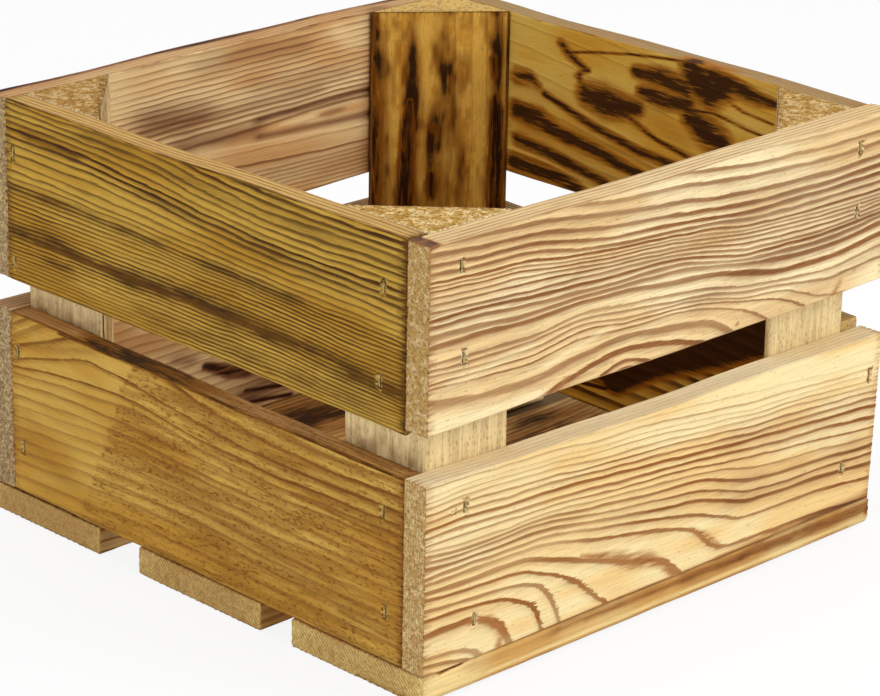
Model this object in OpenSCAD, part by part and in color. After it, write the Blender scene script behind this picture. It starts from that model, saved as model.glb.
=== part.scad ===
// Open slatted crate of flamed pine. Two slats on each wall, a triangular post
// in each corner and three floor boards, all held by narrow wire staples.

/* [Crate] */
// Length along the front and rear walls
crate_length = 300; // [260:1:360]
// Depth from the front face to the rear face
crate_depth = 298; // [260:1:360]
// Height from the underside of the floor boards to the rim
crate_height = 210.5; // [202:0.5:240]

/* [Wall boards] */
// Gap between the lower and the upper slat of a wall, before sawing differences
slat_gap = 20; // [12:0.5:30]
// Thickness of the front and rear slats, which run the full length
long_board = 14; // [10:0.5:18]
// Thickness of the left and right slats, which butt between the long ones
side_board = 12.5; // [10:0.5:18]
// Radius of the eased arris along every slat
arris = 1.2; // [0.6:0.1:2.5]
// How far a sawn edge wanders along its length
edge_wander = 1.2; // [0.1:0.1:2]

/* [Front wall] */
// Upper slat's width at its left end, over an even share of the wall
front_upper_extra = -2.25; // [-6:0.25:6]
// How much narrower that slat is at its right end
front_upper_taper = 1; // [-2:0.5:4]
// Lower slat's width at its left end, over an even share of the wall
front_lower_extra = 1.25; // [-6:0.25:6]
// How much narrower that slat is at its right end
front_lower_taper = 4.5; // [0:0.5:6]
// How far the foot of its right end stays back from the crate's end
front_lower_shy = 1; // [0:0.5:2]
// How far the top of its right end leans out past the crate's end
front_lower_lean = 2.5; // [0.5:0.5:4]

/* [Rear wall] */
// Upper slat's width at its left end, over an even share of the wall
rear_upper_extra = 1.75; // [-6:0.25:6]
// How much narrower that slat is at its right end
rear_upper_taper = 3.5; // [-1:0.5:5]
// Lower slat's width at its left end, over an even share of the wall
rear_lower_extra = 4.75; // [-6:0.25:6]
// How much narrower that slat is at its right end
rear_lower_taper = 1; // [-1:0.5:4]

/* [Left wall] */
// Upper slat's width at its front end, over an even share of the wall
left_upper_extra = 0.25; // [-6:0.25:6]
// How much narrower that slat is at its rear end
left_upper_taper = -1; // [-3:0.5:3]
// Lower slat's width at its front end, over an even share of the wall
left_lower_extra = 0.25; // [-6:0.25:6]
// How much narrower that slat is at its rear end
left_lower_taper = -3; // [-4:0.5:2]

/* [Right wall] */
// Upper slat's width at its front end, over an even share of the wall
right_upper_extra = -1.25; // [-6:0.25:6]
// How much narrower that slat is at its rear end
right_upper_taper = 0.5; // [-2:0.5:3]
// Lower slat's width at its front end, over an even share of the wall
right_lower_extra = 2.75; // [-6:0.25:6]
// How much narrower that slat is at its rear end
right_lower_taper = 1; // [-2:0.5:3]

/* [Corner posts] */
// Legs of the front left post, along the front wall and the left wall
front_left_legs = [49, 50]; // [40:1:56]
// Legs of the front right post, along the front wall and the right wall
front_right_legs = [53, 45]; // [40:1:56]
// Legs of the rear left post, along the rear wall and the left wall
rear_left_legs = [49, 52]; // [40:1:56]
// Legs of the rear right post, along the rear wall and the right wall
rear_right_legs = [55, 45]; // [40:1:56]
// Width of the blunt nose that the saw left on each thin edge
post_nose = 1.6; // [0.8:0.1:3]
// How far the tops of the posts stay below the rim
post_shy = 0.6; // [0:0.1:3]

/* [Floor boards] */
// Thickness of the floor boards
floor_board = 14; // [10:0.5:18]
// Width of the board under the front wall
front_floor_width = 85; // [74:1:95]
// Width of the middle board
middle_floor_width = 86; // [74:1:95]
// Width of the board under the rear wall
rear_floor_width = 79; // [74:1:95]
// Gap between the front board and the middle one
floor_gap = 20; // [10:1:26]
// Radius of the waney lower edge that faces the front
floor_round = 4.5; // [2:0.5:6]

/* [Staples] */
// Width of a staple's crown
staple_crown = 6; // [5:0.2:8]
// Length of a staple's legs, crown included
staple_leg = 25; // [22:1:27]
// Thickness of the wire, seen from outside
staple_wire = 1.2; // [0.8:0.1:1.6]
// Depth of the crown below the face of the board
staple_sink = 0.6; // [0.3:0.1:1]
// Room in all that the crushed wood leaves round the crown
staple_bed = 0.8; // [0.2:0.1:1.6]

/* [Hidden] */

// Outer planes of the crate. The lean of one slat end is shared out, so that
// the origin stays in the middle of the whole footprint.
x_left = -(crate_length + front_lower_lean) / 2;
x_right = x_left + crate_length;
y_front = -crate_depth / 2;
y_rear = crate_depth / 2;
side_length = crate_depth - 2 * long_board;

// Colours of the flamed wood and the wire
front_colour = [0.87, 0.70, 0.45];
side_colour = [0.70, 0.53, 0.24];
inner_colour = [0.62, 0.42, 0.20];
post_colour = [0.80, 0.66, 0.40];
floor_colour = [0.76, 0.58, 0.34];
wire_colour = [0.62, 0.61, 0.56];

// A slat is a loft of eased sections, spaced evenly along its grain
stations = 13;
corner_steps = 3;

// Places of the staples on each slat: distance in from the left or front end,
// or from the far end where it is negative, then the share of the slat's width
// down from the rim on an upper slat or up from the floor on a lower one.
front_upper_places = [[19, 0.15], [21.5, 0.63], [-22, 0.175], [-22, 0.535]];
front_lower_places = [[24, 0.827], [31, 0.207], [-7, 0.726], [-22, 0.24]];
left_upper_places = [[14.5, 0.288], [16.5, 0.768], [-4.5, 0.3], [-4, 0.904]];
left_lower_places = [[13.5, 0.785], [11.5, 0.26], [-4, 0.802], [-7, 0.266]];
rear_upper_places = [[21, 0.155], [24, 0.645], [-20, 0.165], [-23, 0.58]];
rear_lower_places = [[26, 0.645], [20, 0.17], [-24, 0.665], [-21, 0.15]];
right_upper_places = [[13, 0.32], [15, 0.805], [-11, 0.345], [-13, 0.76]];
right_lower_places = [[14, 0.79], [12, 0.31], [-14, 0.815], [-11, 0.33]];
// Distance of the floor staples from the ends and edges of what they hold
floor_staple_in = 15;
// Rounding at a staple's shoulders, as a share of its wire
staple_bend = 0.4;

// Slow wander of a sawn edge, never above the straight line. Each wave has its
// share of the wander and its degrees of turn over the slat.
long_wave = [0.34, 430];
short_wave = [0.16, 1010];
function wander(along, phase) = edge_wander * (long_wave[0] + short_wave[0]
    - long_wave[0] * sin(long_wave[1] * along + phase)
    - short_wave[0] * sin(short_wave[1] * along + 2 * phase));

// Height of a slat's lower and upper edge at a share of its length. The lower
// edge's waves start at another turn, so that the two edges don't run alike.
low_edge_turn = 140;
function low_edge(slat, along) = slat[0] + (slat[1] - slat[0]) * along
    + (slat[4] == 0 ? 0 : wander(along, slat[4] + low_edge_turn));
function high_edge(slat, along) = slat[2] + (slat[3] - slat[2]) * along
    - wander(along, slat[5]);

// One eased section across a slat, as points in depth and height
function eased(depth, low, high) = [
    for (corner = [[arris, low + arris, 180], [depth - arris, low + arris, 270],
        [depth - arris, high - arris, 0], [arris, high - arris, 90]])
        for (step = [0:corner_steps - 1])
            let (turn = corner[2] + 90 * step / (corner_steps - 1))
                [corner[0] + arris * cos(turn), corner[1] + arris * sin(turn)]];

// Edge lines of the slats: low edge at both ends, high edge at both ends,
// then the phase of each edge's wander, where 0 keeps the low edge straight
even_width = (crate_height - floor_board - slat_gap) / 2;
function upper_slat(extra, taper, phase) = [crate_height - even_width - extra,
    crate_height - even_width - extra + taper, crate_height, crate_height, phase, phase + 70];
function lower_slat(extra, taper, phase) = [floor_board, floor_board,
    floor_board + even_width + extra, floor_board + even_width + extra - taper, 0, phase];

front_upper = upper_slat(front_upper_extra, front_upper_taper, 25);
front_lower = lower_slat(front_lower_extra, front_lower_taper, 60);
rear_upper = upper_slat(rear_upper_extra, rear_upper_taper, 150);
rear_lower = lower_slat(rear_lower_extra, rear_lower_taper, 200);
left_upper = upper_slat(left_upper_extra, left_upper_taper, 300);
left_lower = lower_slat(left_lower_extra, left_lower_taper, 100);
right_upper = upper_slat(right_upper_extra, right_upper_taper, 240);
right_lower = lower_slat(right_lower_extra, right_lower_taper, 330);

// Slat along +X with its outer face on y = 0. Its far end may stay back at
// the foot and lean out at the top.
module slat(length, depth, edges, shy = 0, lean = 0) {
    ring = 4 * corner_steps;
    points = [for (station = [0:stations - 1])
        let (along = station / (stations - 1),
             low = low_edge(edges, along),
             high = high_edge(edges, along))
            for (point = eased(depth, low, high))
                [along * (length - shy + (shy + lean) * (point[1] - low) / (high - low)),
                 point[0], point[1]]];
    sides = [for (station = [0:stations - 2])
        for (edge = [0:ring - 1])
            let (a = station * ring + edge,
                 b = station * ring + (edge + 1) % ring)
                each [[a, a + ring, b], [b, a + ring, b + ring]]];
    near_end = [[for (edge = [0:ring - 1]) edge]];
    far_end = [[for (edge = [ring - 1:-1:0]) (stations - 1) * ring + edge]];
    polyhedron(points, concat(near_end, sides, far_end));
}

// Staple driven into the face y = 0 at its own origin, crown upright. It is
// bent from one wire, with eased shoulders and chisel points.
module staple() {
    half = staple_crown / 2;
    tip = staple_sink + staple_leg;
    bend = staple_wire * staple_bend;
    under = staple_sink + staple_wire;
    outline = [[staple_sink + bend, -half], [staple_sink, -half + bend],
        [staple_sink, half - bend], [staple_sink + bend, half],
        [tip - staple_wire, half], [tip, half - staple_wire],
        [under, half - staple_wire], [under, -half + staple_wire],
        [tip, -half + staple_wire], [tip - staple_wire, -half]];
    translate([-staple_wire / 2, 0, 0])
        rotate([90, 0, 90])
            linear_extrude(staple_wire)
                polygon(outline);
}

// The hole that a staple cuts: its legs, and an open bed round its crown
module staple_hole() {
    bed = [staple_wire + staple_bed, 2 * (staple_sink + staple_wire), staple_crown + staple_bed];
    staple();
    translate(-bed / 2)
        cube(bed);
}

// Runs its children at each place of a slat, down from the rim or up from the floor
module at_places(places, length, edges, upper) {
    width = edges[2] - edges[0];
    for (place = places)
        translate([place[0] > 0 ? place[0] : length + place[0], 0,
            upper ? edges[2] - place[1] * width : edges[0] + place[1] * width])
            children();
}

// Frames of the four walls: each draws along +X, outer face on y = 0, inwards +Y
module on_front() {
    translate([x_left, y_front, 0]) children();
}
module on_rear() {
    translate([x_left, y_rear, 0]) mirror([0, 1, 0]) children();
}
module on_left() {
    translate([x_left, y_front + long_board, 0]) mirror([1, -1, 0]) children();
}
module on_right() {
    translate([x_right, y_front + long_board, 0]) mirror([1, 0, 0]) mirror([1, -1, 0]) children();
}

// Holes of every staple on one wall
module front_holes() {
    on_front() at_places(front_upper_places, crate_length, front_upper, true) staple_hole();
    on_front() at_places(front_lower_places, crate_length, front_lower, false) staple_hole();
}
module rear_holes() {
    on_rear() at_places(rear_upper_places, crate_length, rear_upper, true) staple_hole();
    on_rear() at_places(rear_lower_places, crate_length, rear_lower, false) staple_hole();
}
module left_holes() {
    on_left() at_places(left_upper_places, side_length, left_upper, true) staple_hole();
    on_left() at_places(left_lower_places, side_length, left_lower, false) staple_hole();
}
module right_holes() {
    on_right() at_places(right_upper_places, side_length, right_upper, true) staple_hole();
    on_right() at_places(right_lower_places, side_length, right_lower, false) staple_hole();
}

// Where each floor board lies, as its front edge and its width
front_floor = [y_front, front_floor_width];
middle_floor = [y_front + front_floor_width + floor_gap, middle_floor_width];
rear_floor = [y_rear - rear_floor_width, rear_floor_width];

// A floor staple is driven up through the board into the side slat above it
module at_floor_staples(board) {
    near = max(board[0] + floor_staple_in, y_front + long_board + floor_staple_in);
    far = min(board[0] + board[1] - floor_staple_in, y_rear - long_board - floor_staple_in);
    for (x = [x_left + side_board / 2, x_right - side_board / 2])
        for (y = [near, far])
            translate([x, y, 0])
                rotate([90, 0, 0])
                    children();
}
module floor_holes() {
    for (board = [front_floor, middle_floor, rear_floor])
        at_floor_staples(board) staple_hole();
}

// Floor board along the front, with a waney lower edge towards the front
module floor_board_solid(board) {
    arc = 6;
    front_edge = [for (step = [0:arc])
        let (turn = 180 + 90 * step / arc)
            [floor_round + floor_round * cos(turn), floor_round + floor_round * sin(turn)]];
    profile = concat(front_edge,
        [[board[1] - arris, 0], [board[1], arris],
         [board[1], floor_board], [0, floor_board]]);
    difference() {
        translate([x_left, board[0], 0])
            rotate([90, 0, 90])
                linear_extrude(crate_length)
                    polygon(profile);
        at_floor_staples(board) staple_hole();
    }
}

// Corner post sawn diagonally from square timber. It is drawn in the corner at
// the origin, with its legs along +X and +Y, standing on the floor boards.
module post_solid(legs) {
    outline = [[0, 0], [legs[0], 0], [legs[0], post_nose],
        [post_nose, legs[1]], [0, legs[1]]];
    translate([0, 0, floor_board])
        linear_extrude(crate_height - post_shy - floor_board)
            polygon(outline);
}

module front_left_post() {
    color(post_colour) difference() {
        translate([x_left + side_board, y_front + long_board, 0]) post_solid(front_left_legs);
        front_holes();
        left_holes();
    }
}
module front_right_post() {
    color(post_colour) difference() {
        translate([x_right - side_board, y_front + long_board, 0])
            mirror([1, 0, 0]) post_solid(front_right_legs);
        front_holes();
        right_holes();
    }
}
module rear_left_post() {
    color(post_colour) difference() {
        translate([x_left + side_board, y_rear - long_board, 0])
            mirror([0, 1, 0]) post_solid(rear_left_legs);
        rear_holes();
        left_holes();
    }
}
module rear_right_post() {
    color(post_colour) difference() {
        translate([x_right - side_board, y_rear - long_board, 0])
            mirror([1, 0, 0]) mirror([0, 1, 0]) post_solid(rear_right_legs);
        rear_holes();
        right_holes();
    }
}

module front_upper_slat() {
    color(front_colour) difference() {
        on_front() slat(crate_length, long_board, front_upper);
        front_holes();
    }
}
module front_lower_slat() {
    color(front_colour) difference() {
        on_front() slat(crate_length, long_board, front_lower, front_lower_shy, front_lower_lean);
        front_holes();
    }
}
module rear_upper_slat() {
    color(inner_colour) difference() {
        on_rear() slat(crate_length, long_board, rear_upper);
        rear_holes();
    }
}
module rear_lower_slat() {
    color(inner_colour) difference() {
        on_rear() slat(crate_length, long_board, rear_lower);
        rear_holes();
    }
}
// The side slats also take the points of any front or rear staple that is
// driven into their end grain, and of the floor staples from below.
module left_upper_slat() {
    color(side_colour) difference() {
        on_left() slat(side_length, side_board, left_upper);
        left_holes();
    }
}
module left_lower_slat() {
    color(side_colour) difference() {
        on_left() slat(side_length, side_board, left_lower);
        left_holes();
        floor_holes();
    }
}
module right_upper_slat() {
    color(side_colour) difference() {
        on_right() slat(side_length, side_board, right_upper);
        right_holes();
    }
}
module right_lower_slat() {
    color(side_colour) difference() {
        on_right() slat(side_length, side_board, right_lower);
        right_holes();
        front_holes();
        floor_holes();
    }
}

module front_floor_board() {
    color(floor_colour) floor_board_solid(front_floor);
}
module middle_floor_board() {
    color(floor_colour) floor_board_solid(middle_floor);
}
module rear_floor_board() {
    color(floor_colour) floor_board_solid(rear_floor);
}

module front_upper_staples() {
    color(wire_colour) on_front() at_places(front_upper_places, crate_length, front_upper, true) staple();
}
module front_lower_staples() {
    color(wire_colour) on_front() at_places(front_lower_places, crate_length, front_lower, false) staple();
}
module rear_upper_staples() {
    color(wire_colour) on_rear() at_places(rear_upper_places, crate_length, rear_upper, true) staple();
}
module rear_lower_staples() {
    color(wire_colour) on_rear() at_places(rear_lower_places, crate_length, rear_lower, false) staple();
}
module left_upper_staples() {
    color(wire_colour) on_left() at_places(left_upper_places, side_length, left_upper, true) staple();
}
module left_lower_staples() {
    color(wire_colour) on_left() at_places(left_lower_places, side_length, left_lower, false) staple();
}
module right_upper_staples() {
    color(wire_colour) on_right() at_places(right_upper_places, side_length, right_upper, true) staple();
}
module right_lower_staples() {
    color(wire_colour) on_right() at_places(right_lower_places, side_length, right_lower, false) staple();
}
module front_floor_staples() {
    color(wire_colour) at_floor_staples(front_floor) staple();
}
module middle_floor_staples() {
    color(wire_colour) at_floor_staples(middle_floor) staple();
}
module rear_floor_staples() {
    color(wire_colour) at_floor_staples(rear_floor) staple();
}

front_floor_board();
middle_floor_board();
rear_floor_board();
front_left_post();
front_right_post();
rear_left_post();
rear_right_post();
front_lower_slat();
front_upper_slat();
rear_lower_slat();
rear_upper_slat();
left_lower_slat();
left_upper_slat();
right_lower_slat();
right_upper_slat();
front_lower_staples();
front_upper_staples();
rear_lower_staples();
rear_upper_staples();
left_lower_staples();
left_upper_staples();
right_lower_staples();
right_upper_staples();
front_floor_staples();
middle_floor_staples();
rear_floor_staples();
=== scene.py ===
import math

import bmesh
import bpy
import numpy as np
from mathutils import Matrix, Vector


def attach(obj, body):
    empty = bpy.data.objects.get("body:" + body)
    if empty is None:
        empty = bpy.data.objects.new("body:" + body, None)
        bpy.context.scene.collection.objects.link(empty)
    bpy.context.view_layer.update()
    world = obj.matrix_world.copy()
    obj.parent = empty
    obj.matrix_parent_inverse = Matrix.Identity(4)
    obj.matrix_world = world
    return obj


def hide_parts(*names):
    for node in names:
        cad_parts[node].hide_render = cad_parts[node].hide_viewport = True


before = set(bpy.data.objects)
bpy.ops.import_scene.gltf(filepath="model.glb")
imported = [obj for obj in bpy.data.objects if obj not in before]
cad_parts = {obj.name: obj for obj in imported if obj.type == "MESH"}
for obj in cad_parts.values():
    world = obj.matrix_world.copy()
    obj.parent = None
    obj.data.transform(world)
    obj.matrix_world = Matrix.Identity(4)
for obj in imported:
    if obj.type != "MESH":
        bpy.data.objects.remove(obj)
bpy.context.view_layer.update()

# Front lower slat: a flat sawn pine batten, brushed and flamed. Its grain runs in
# long lines over a nested figure at the lower left. It stands on the front floor
# board and is stapled to both front posts.
MM = 0.001
X_LEFT, X_RIGHT = -0.15125, 0.14875
Y_FRONT, Y_REAR = -0.149, 0.149
RIM, FLOOR_TOP = 0.2105, 0.014
LONG_BOARD, SIDE_BOARD = 0.014, 0.0125
LONG_LENGTH = 0.300
EDGE_WANDER = 1.2 * MM


def tone(red, green, blue):
    """A colour as the eye reads it, 0 to 255, as the linear values that a shader takes."""
    seen = [c / 255 for c in (red, green, blue)]
    return tuple(c / 12.92 if c <= 0.04045 else ((c + 0.055) / 1.055) ** 2.4 for c in seen) + (1.0,)


def mottle(seed, across, along):
    """Smooth seeded noise from 0 to 1 over two coordinates, one lump per unit."""
    lumps = np.random.default_rng(seed).random((64, 64))
    x, y = np.floor(across).astype(int), np.floor(along).astype(int)
    u, v = across - x, along - y
    u, v = u * u * (3 - 2 * u), v * v * (3 - 2 * v)
    near = lumps[x % 64, y % 64] * (1 - u) + lumps[(x + 1) % 64, y % 64] * u
    far = lumps[x % 64, (y + 1) % 64] * (1 - u) + lumps[(x + 1) % 64, (y + 1) % 64] * u
    return near * (1 - v) + far * v


def step_up(low, high, value):
    """0 below low, 1 above high, with eased ends."""
    share = np.clip((value - low) / (high - low), 0, 1)
    return share * share * (3 - 2 * share)


def wander(share, turn):
    """How far a sawn edge lies inside its straight line, at a share of its length."""
    waves = 0.34 * np.sin(np.radians(430 * share + turn)) + 0.16 * np.sin(np.radians(1010 * share + 2 * turn))
    return EDGE_WANDER * (0.5 - waves)


def run_lines(stations, heights, along):
    """Traced grain lines carried smoothly through their stations: a row of heights per line."""
    x, y = np.asarray(stations, float), np.asarray(heights, float)
    step = np.diff(x)
    slope = np.diff(y, axis=1) / step
    before, after = slope[:, :-1], slope[:, 1:]
    one_way = before * after > 0
    middle = np.where(one_way, 2 * before * after / np.where(one_way, before + after, 1), 0)
    tangent = np.hstack([slope[:, :1], middle, slope[:, -1:]])
    cell = np.clip(np.searchsorted(x, along, side="right") - 1, 0, len(step) - 1)
    t, w = (along - x[cell]) / step[cell], step[cell]
    return (
        y[:, cell] * (2 * t**3 - 3 * t**2 + 1)
        + tangent[:, cell] * w * (t**3 - 2 * t**2 + t)
        + y[:, cell + 1] * (3 * t**2 - 2 * t**3)
        + tangent[:, cell + 1] * w * (t**3 - t**2)
    )


class Grain:
    """Growth rings of one board. Each traced line is (rings since the line below, width
    of its dark wood in mm, how dark it burnt, heights in mm at the stations)."""

    HEIGHT_STEP = 0.25
    LEAST_GAP = 0.35
    OUTER_RINGS, OUTER_REACH = 6, 24

    def __init__(self, length, foot, stations, lines, ridges=(), lean=0.8, seed=1):
        self.foot, self.lean, self.seed = foot, lean, seed
        self.along = np.linspace(-4, length / MM + 4, 320)
        self.up = np.arange(-30.0, 132.0, self.HEIGHT_STEP)
        number = np.cumsum([line[0] for line in lines]).astype(float)
        inside = np.clip(self.along, stations[0], stations[-1])
        heights = run_lines(stations, [line[3] for line in lines], inside)
        soften = np.hanning(11)[1:-1] / np.hanning(11).sum()
        padded = np.pad(heights, ((0, 0), (4, 4)), mode="edge")
        heights = np.stack([np.convolve(row, soften, mode="valid") for row in padded])
        for k in range(1, len(heights)):
            heights[k] = np.maximum(heights[k], heights[k - 1] + self.LEAST_GAP)
        numbers = np.concatenate([[number[0] - self.OUTER_RINGS], number, [number[-1] + self.OUTER_RINGS]])
        self.ring = np.empty((len(self.along), len(self.up)))
        for i, column in enumerate(heights.T):
            reach = np.concatenate([[column[0] - self.OUTER_REACH], column, [column[-1] + self.OUTER_REACH]])
            self.ring[i] = np.interp(self.up, reach, numbers)
        for s, h, half_length, half_height, rise in ridges:
            far = ((self.along[:, None] - s) / half_length) ** 2 + ((self.up - h) / half_height) ** 2
            self.ring += rise * np.exp(-far)
        slope_s = np.gradient(self.ring, self.along, axis=0)
        slope_h = np.gradient(self.ring, self.up, axis=1)
        width = np.interp(self.ring, number, [line[1] for line in lines])
        self.late = np.clip(width * np.hypot(slope_s, slope_h), 0.1, 0.85)
        self.slant = np.clip(np.abs(slope_s), 0, 0.16) * step_up(0.25, 0.7, np.abs(slope_s) / slope_h)
        self.dark = np.interp(self.ring, number, [line[2] for line in lines])

    def read(self, table, s, h):
        i = np.clip((s - self.along[0]) / (self.along[1] - self.along[0]), 0, len(self.along) - 1.001)
        j = np.clip((h - self.up[0]) / self.HEIGHT_STEP, 0, len(self.up) - 1.001)
        a, b = i.astype(int), j.astype(int)
        u, v = i - a, j - b
        left = table[a, b] * (1 - v) + table[a, b + 1] * v
        right = table[a + 1, b] * (1 - v) + table[a + 1, b + 1] * v
        return left * (1 - u) + right * u

    def at(self, s, h, d):
        """Ring number, late share, darkness and slant of the rings at points in metres."""
        s_mm, h_mm, d_mm = s / MM, (h - self.foot) / MM, d / MM
        slow, quick = mottle(self.seed, s_mm / 26, h_mm / 9), mottle(self.seed + 9, s_mm / 10, h_mm / 3)
        sway = 0.9 * (slow - 0.5) + 0.55 * (quick - 0.5)
        h_mm = h_mm + self.lean * d_mm + sway
        return tuple(self.read(table, s_mm, h_mm) for table in (self.ring, self.late, self.dark, self.slant))


def late_wood(ring, late):
    """How far a point lies in the dark late wood: soft on the inner side, sharp on the outer."""
    t = ring - np.round(ring)
    return step_up(-0.75 * late, -0.05 * late, t) * (1 - step_up(0.25 * late, 0.55 * late, t))


def paint(strokes, s, h):
    """Strongest brush stroke at each point, 1 on its path and 0 at its radius. A stroke is
    (strength, [(along, up, radius), ...]) in mm."""
    total = np.zeros_like(s)
    s, h = s / MM, h / MM
    for strength, path in strokes:
        for (s0, h0, r0), (s1, h1, r1) in zip(path, path[1:] or path):
            ds, dh = s1 - s0, h1 - h0
            t = np.clip(((s - s0) * ds + (h - h0) * dh) / max(ds * ds + dh * dh, 1e-6), 0, 1)
            away = np.hypot(s - s0 - t * ds, h - h0 - t * dh) / (r0 + (r1 - r0) * t)
            total = np.maximum(total, strength * (1 - away))
    return total


def soft_paint(strokes, s, h, squeeze=(0.45, 1.0)):
    """Strokes of an airbrush: they fade out round their radius, far along the grain, and add
    up where they meet."""
    total = np.zeros_like(s)
    for strength, path in strokes:
        wide = [(along * squeeze[0], up * squeeze[1], radius * 2) for along, up, radius in path]
        near = paint([(1, wide)], s * squeeze[0], h * squeeze[1])
        total += strength * (near > 0) * np.exp(-9.0 * (1 - near) ** 2)
    return total


def crown_places(node, origin, along):
    """Where a CAD node's staples stand on their board, as distance along it and height."""
    found = []
    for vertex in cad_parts[node].data.vertices:
        spot = vertex.co - origin
        here = (spot.dot(along), spot.z)
        group = next((g for g in found if math.dist(g[0], here) < 0.012), None)
        if group is None:
            found.append([here])
        else:
            group.append(here)
    return [tuple(np.mean([np.min(g, axis=0), np.max(g, axis=0)], axis=0)) for g in found]


def box_shell(counts):
    """Outside of a block of grid points: index triples of its points, and its quads."""
    a, b, c = counts
    keep = np.zeros(counts, bool)
    keep[[0, -1]] = True
    keep[:, [0, -1]] = True
    keep[:, :, [0, -1]] = True
    number = np.full(counts, -1)
    number[keep] = np.arange(keep.sum())
    quads = []
    for face, turn in (
        (number[:, :, 0], 1), (number[:, :, -1], 0), (number[:, 0, :], 0),
        (number[:, -1, :], 1), (number[0, :, :], 1), (number[-1, :, :], 0),
    ):
        corners = [face[:-1, :-1], face[1:, :-1], face[1:, 1:], face[:-1, 1:]]
        if turn:
            corners.reverse()
        quads.append(np.stack([q.ravel() for q in corners], 1))
    return np.argwhere(keep), np.concatenate(quads)


def make_mesh(name, points, quads, masks):
    """A smooth mesh object from arrays, with one named value or vector per point for each mask."""
    mesh = bpy.data.meshes.new(name)
    mesh.vertices.add(len(points))
    mesh.vertices.foreach_set("co", points.astype(np.float32).ravel())
    mesh.loops.add(quads.size)
    mesh.loops.foreach_set("vertex_index", quads.astype(np.int32).ravel())
    mesh.polygons.add(len(quads))
    mesh.polygons.foreach_set("loop_start", np.arange(0, quads.size, quads.shape[1], dtype=np.int32))
    mesh.polygons.foreach_set("use_smooth", np.ones(len(quads), bool))
    mesh.update(calc_edges=True)
    mesh.validate()
    for key, values in masks.items():
        kind = "FLOAT_VECTOR" if values.ndim == 2 else "FLOAT"
        layer = mesh.attributes.new(key, kind, "POINT")
        layer.data.foreach_set("vector" if values.ndim == 2 else "value", values.astype(np.float32).ravel())
    piece = bpy.data.objects.new(name, mesh)
    bpy.context.scene.collection.objects.link(piece)
    return piece


def marks(size, edge, middle_step, extra=()):
    """Grid marks across a board, closer at its edges and wherever an extra mark is asked for."""
    ends = np.array([0, 0.4, 1.0]) * edge
    count = max(2, int(round((size - 2 * edge) / middle_step)))
    inner = np.linspace(edge, size - edge, count + 1)[1:-1]
    marked = np.concatenate([ends, inner, size - ends])
    for place in extra:
        near = np.abs(marked - place) < 0.0028
        marked = np.concatenate([marked[~near], place + np.linspace(-2.4, 2.4, 9) * MM])
    return np.unique(np.clip(marked, 0, size).round(6))


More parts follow.
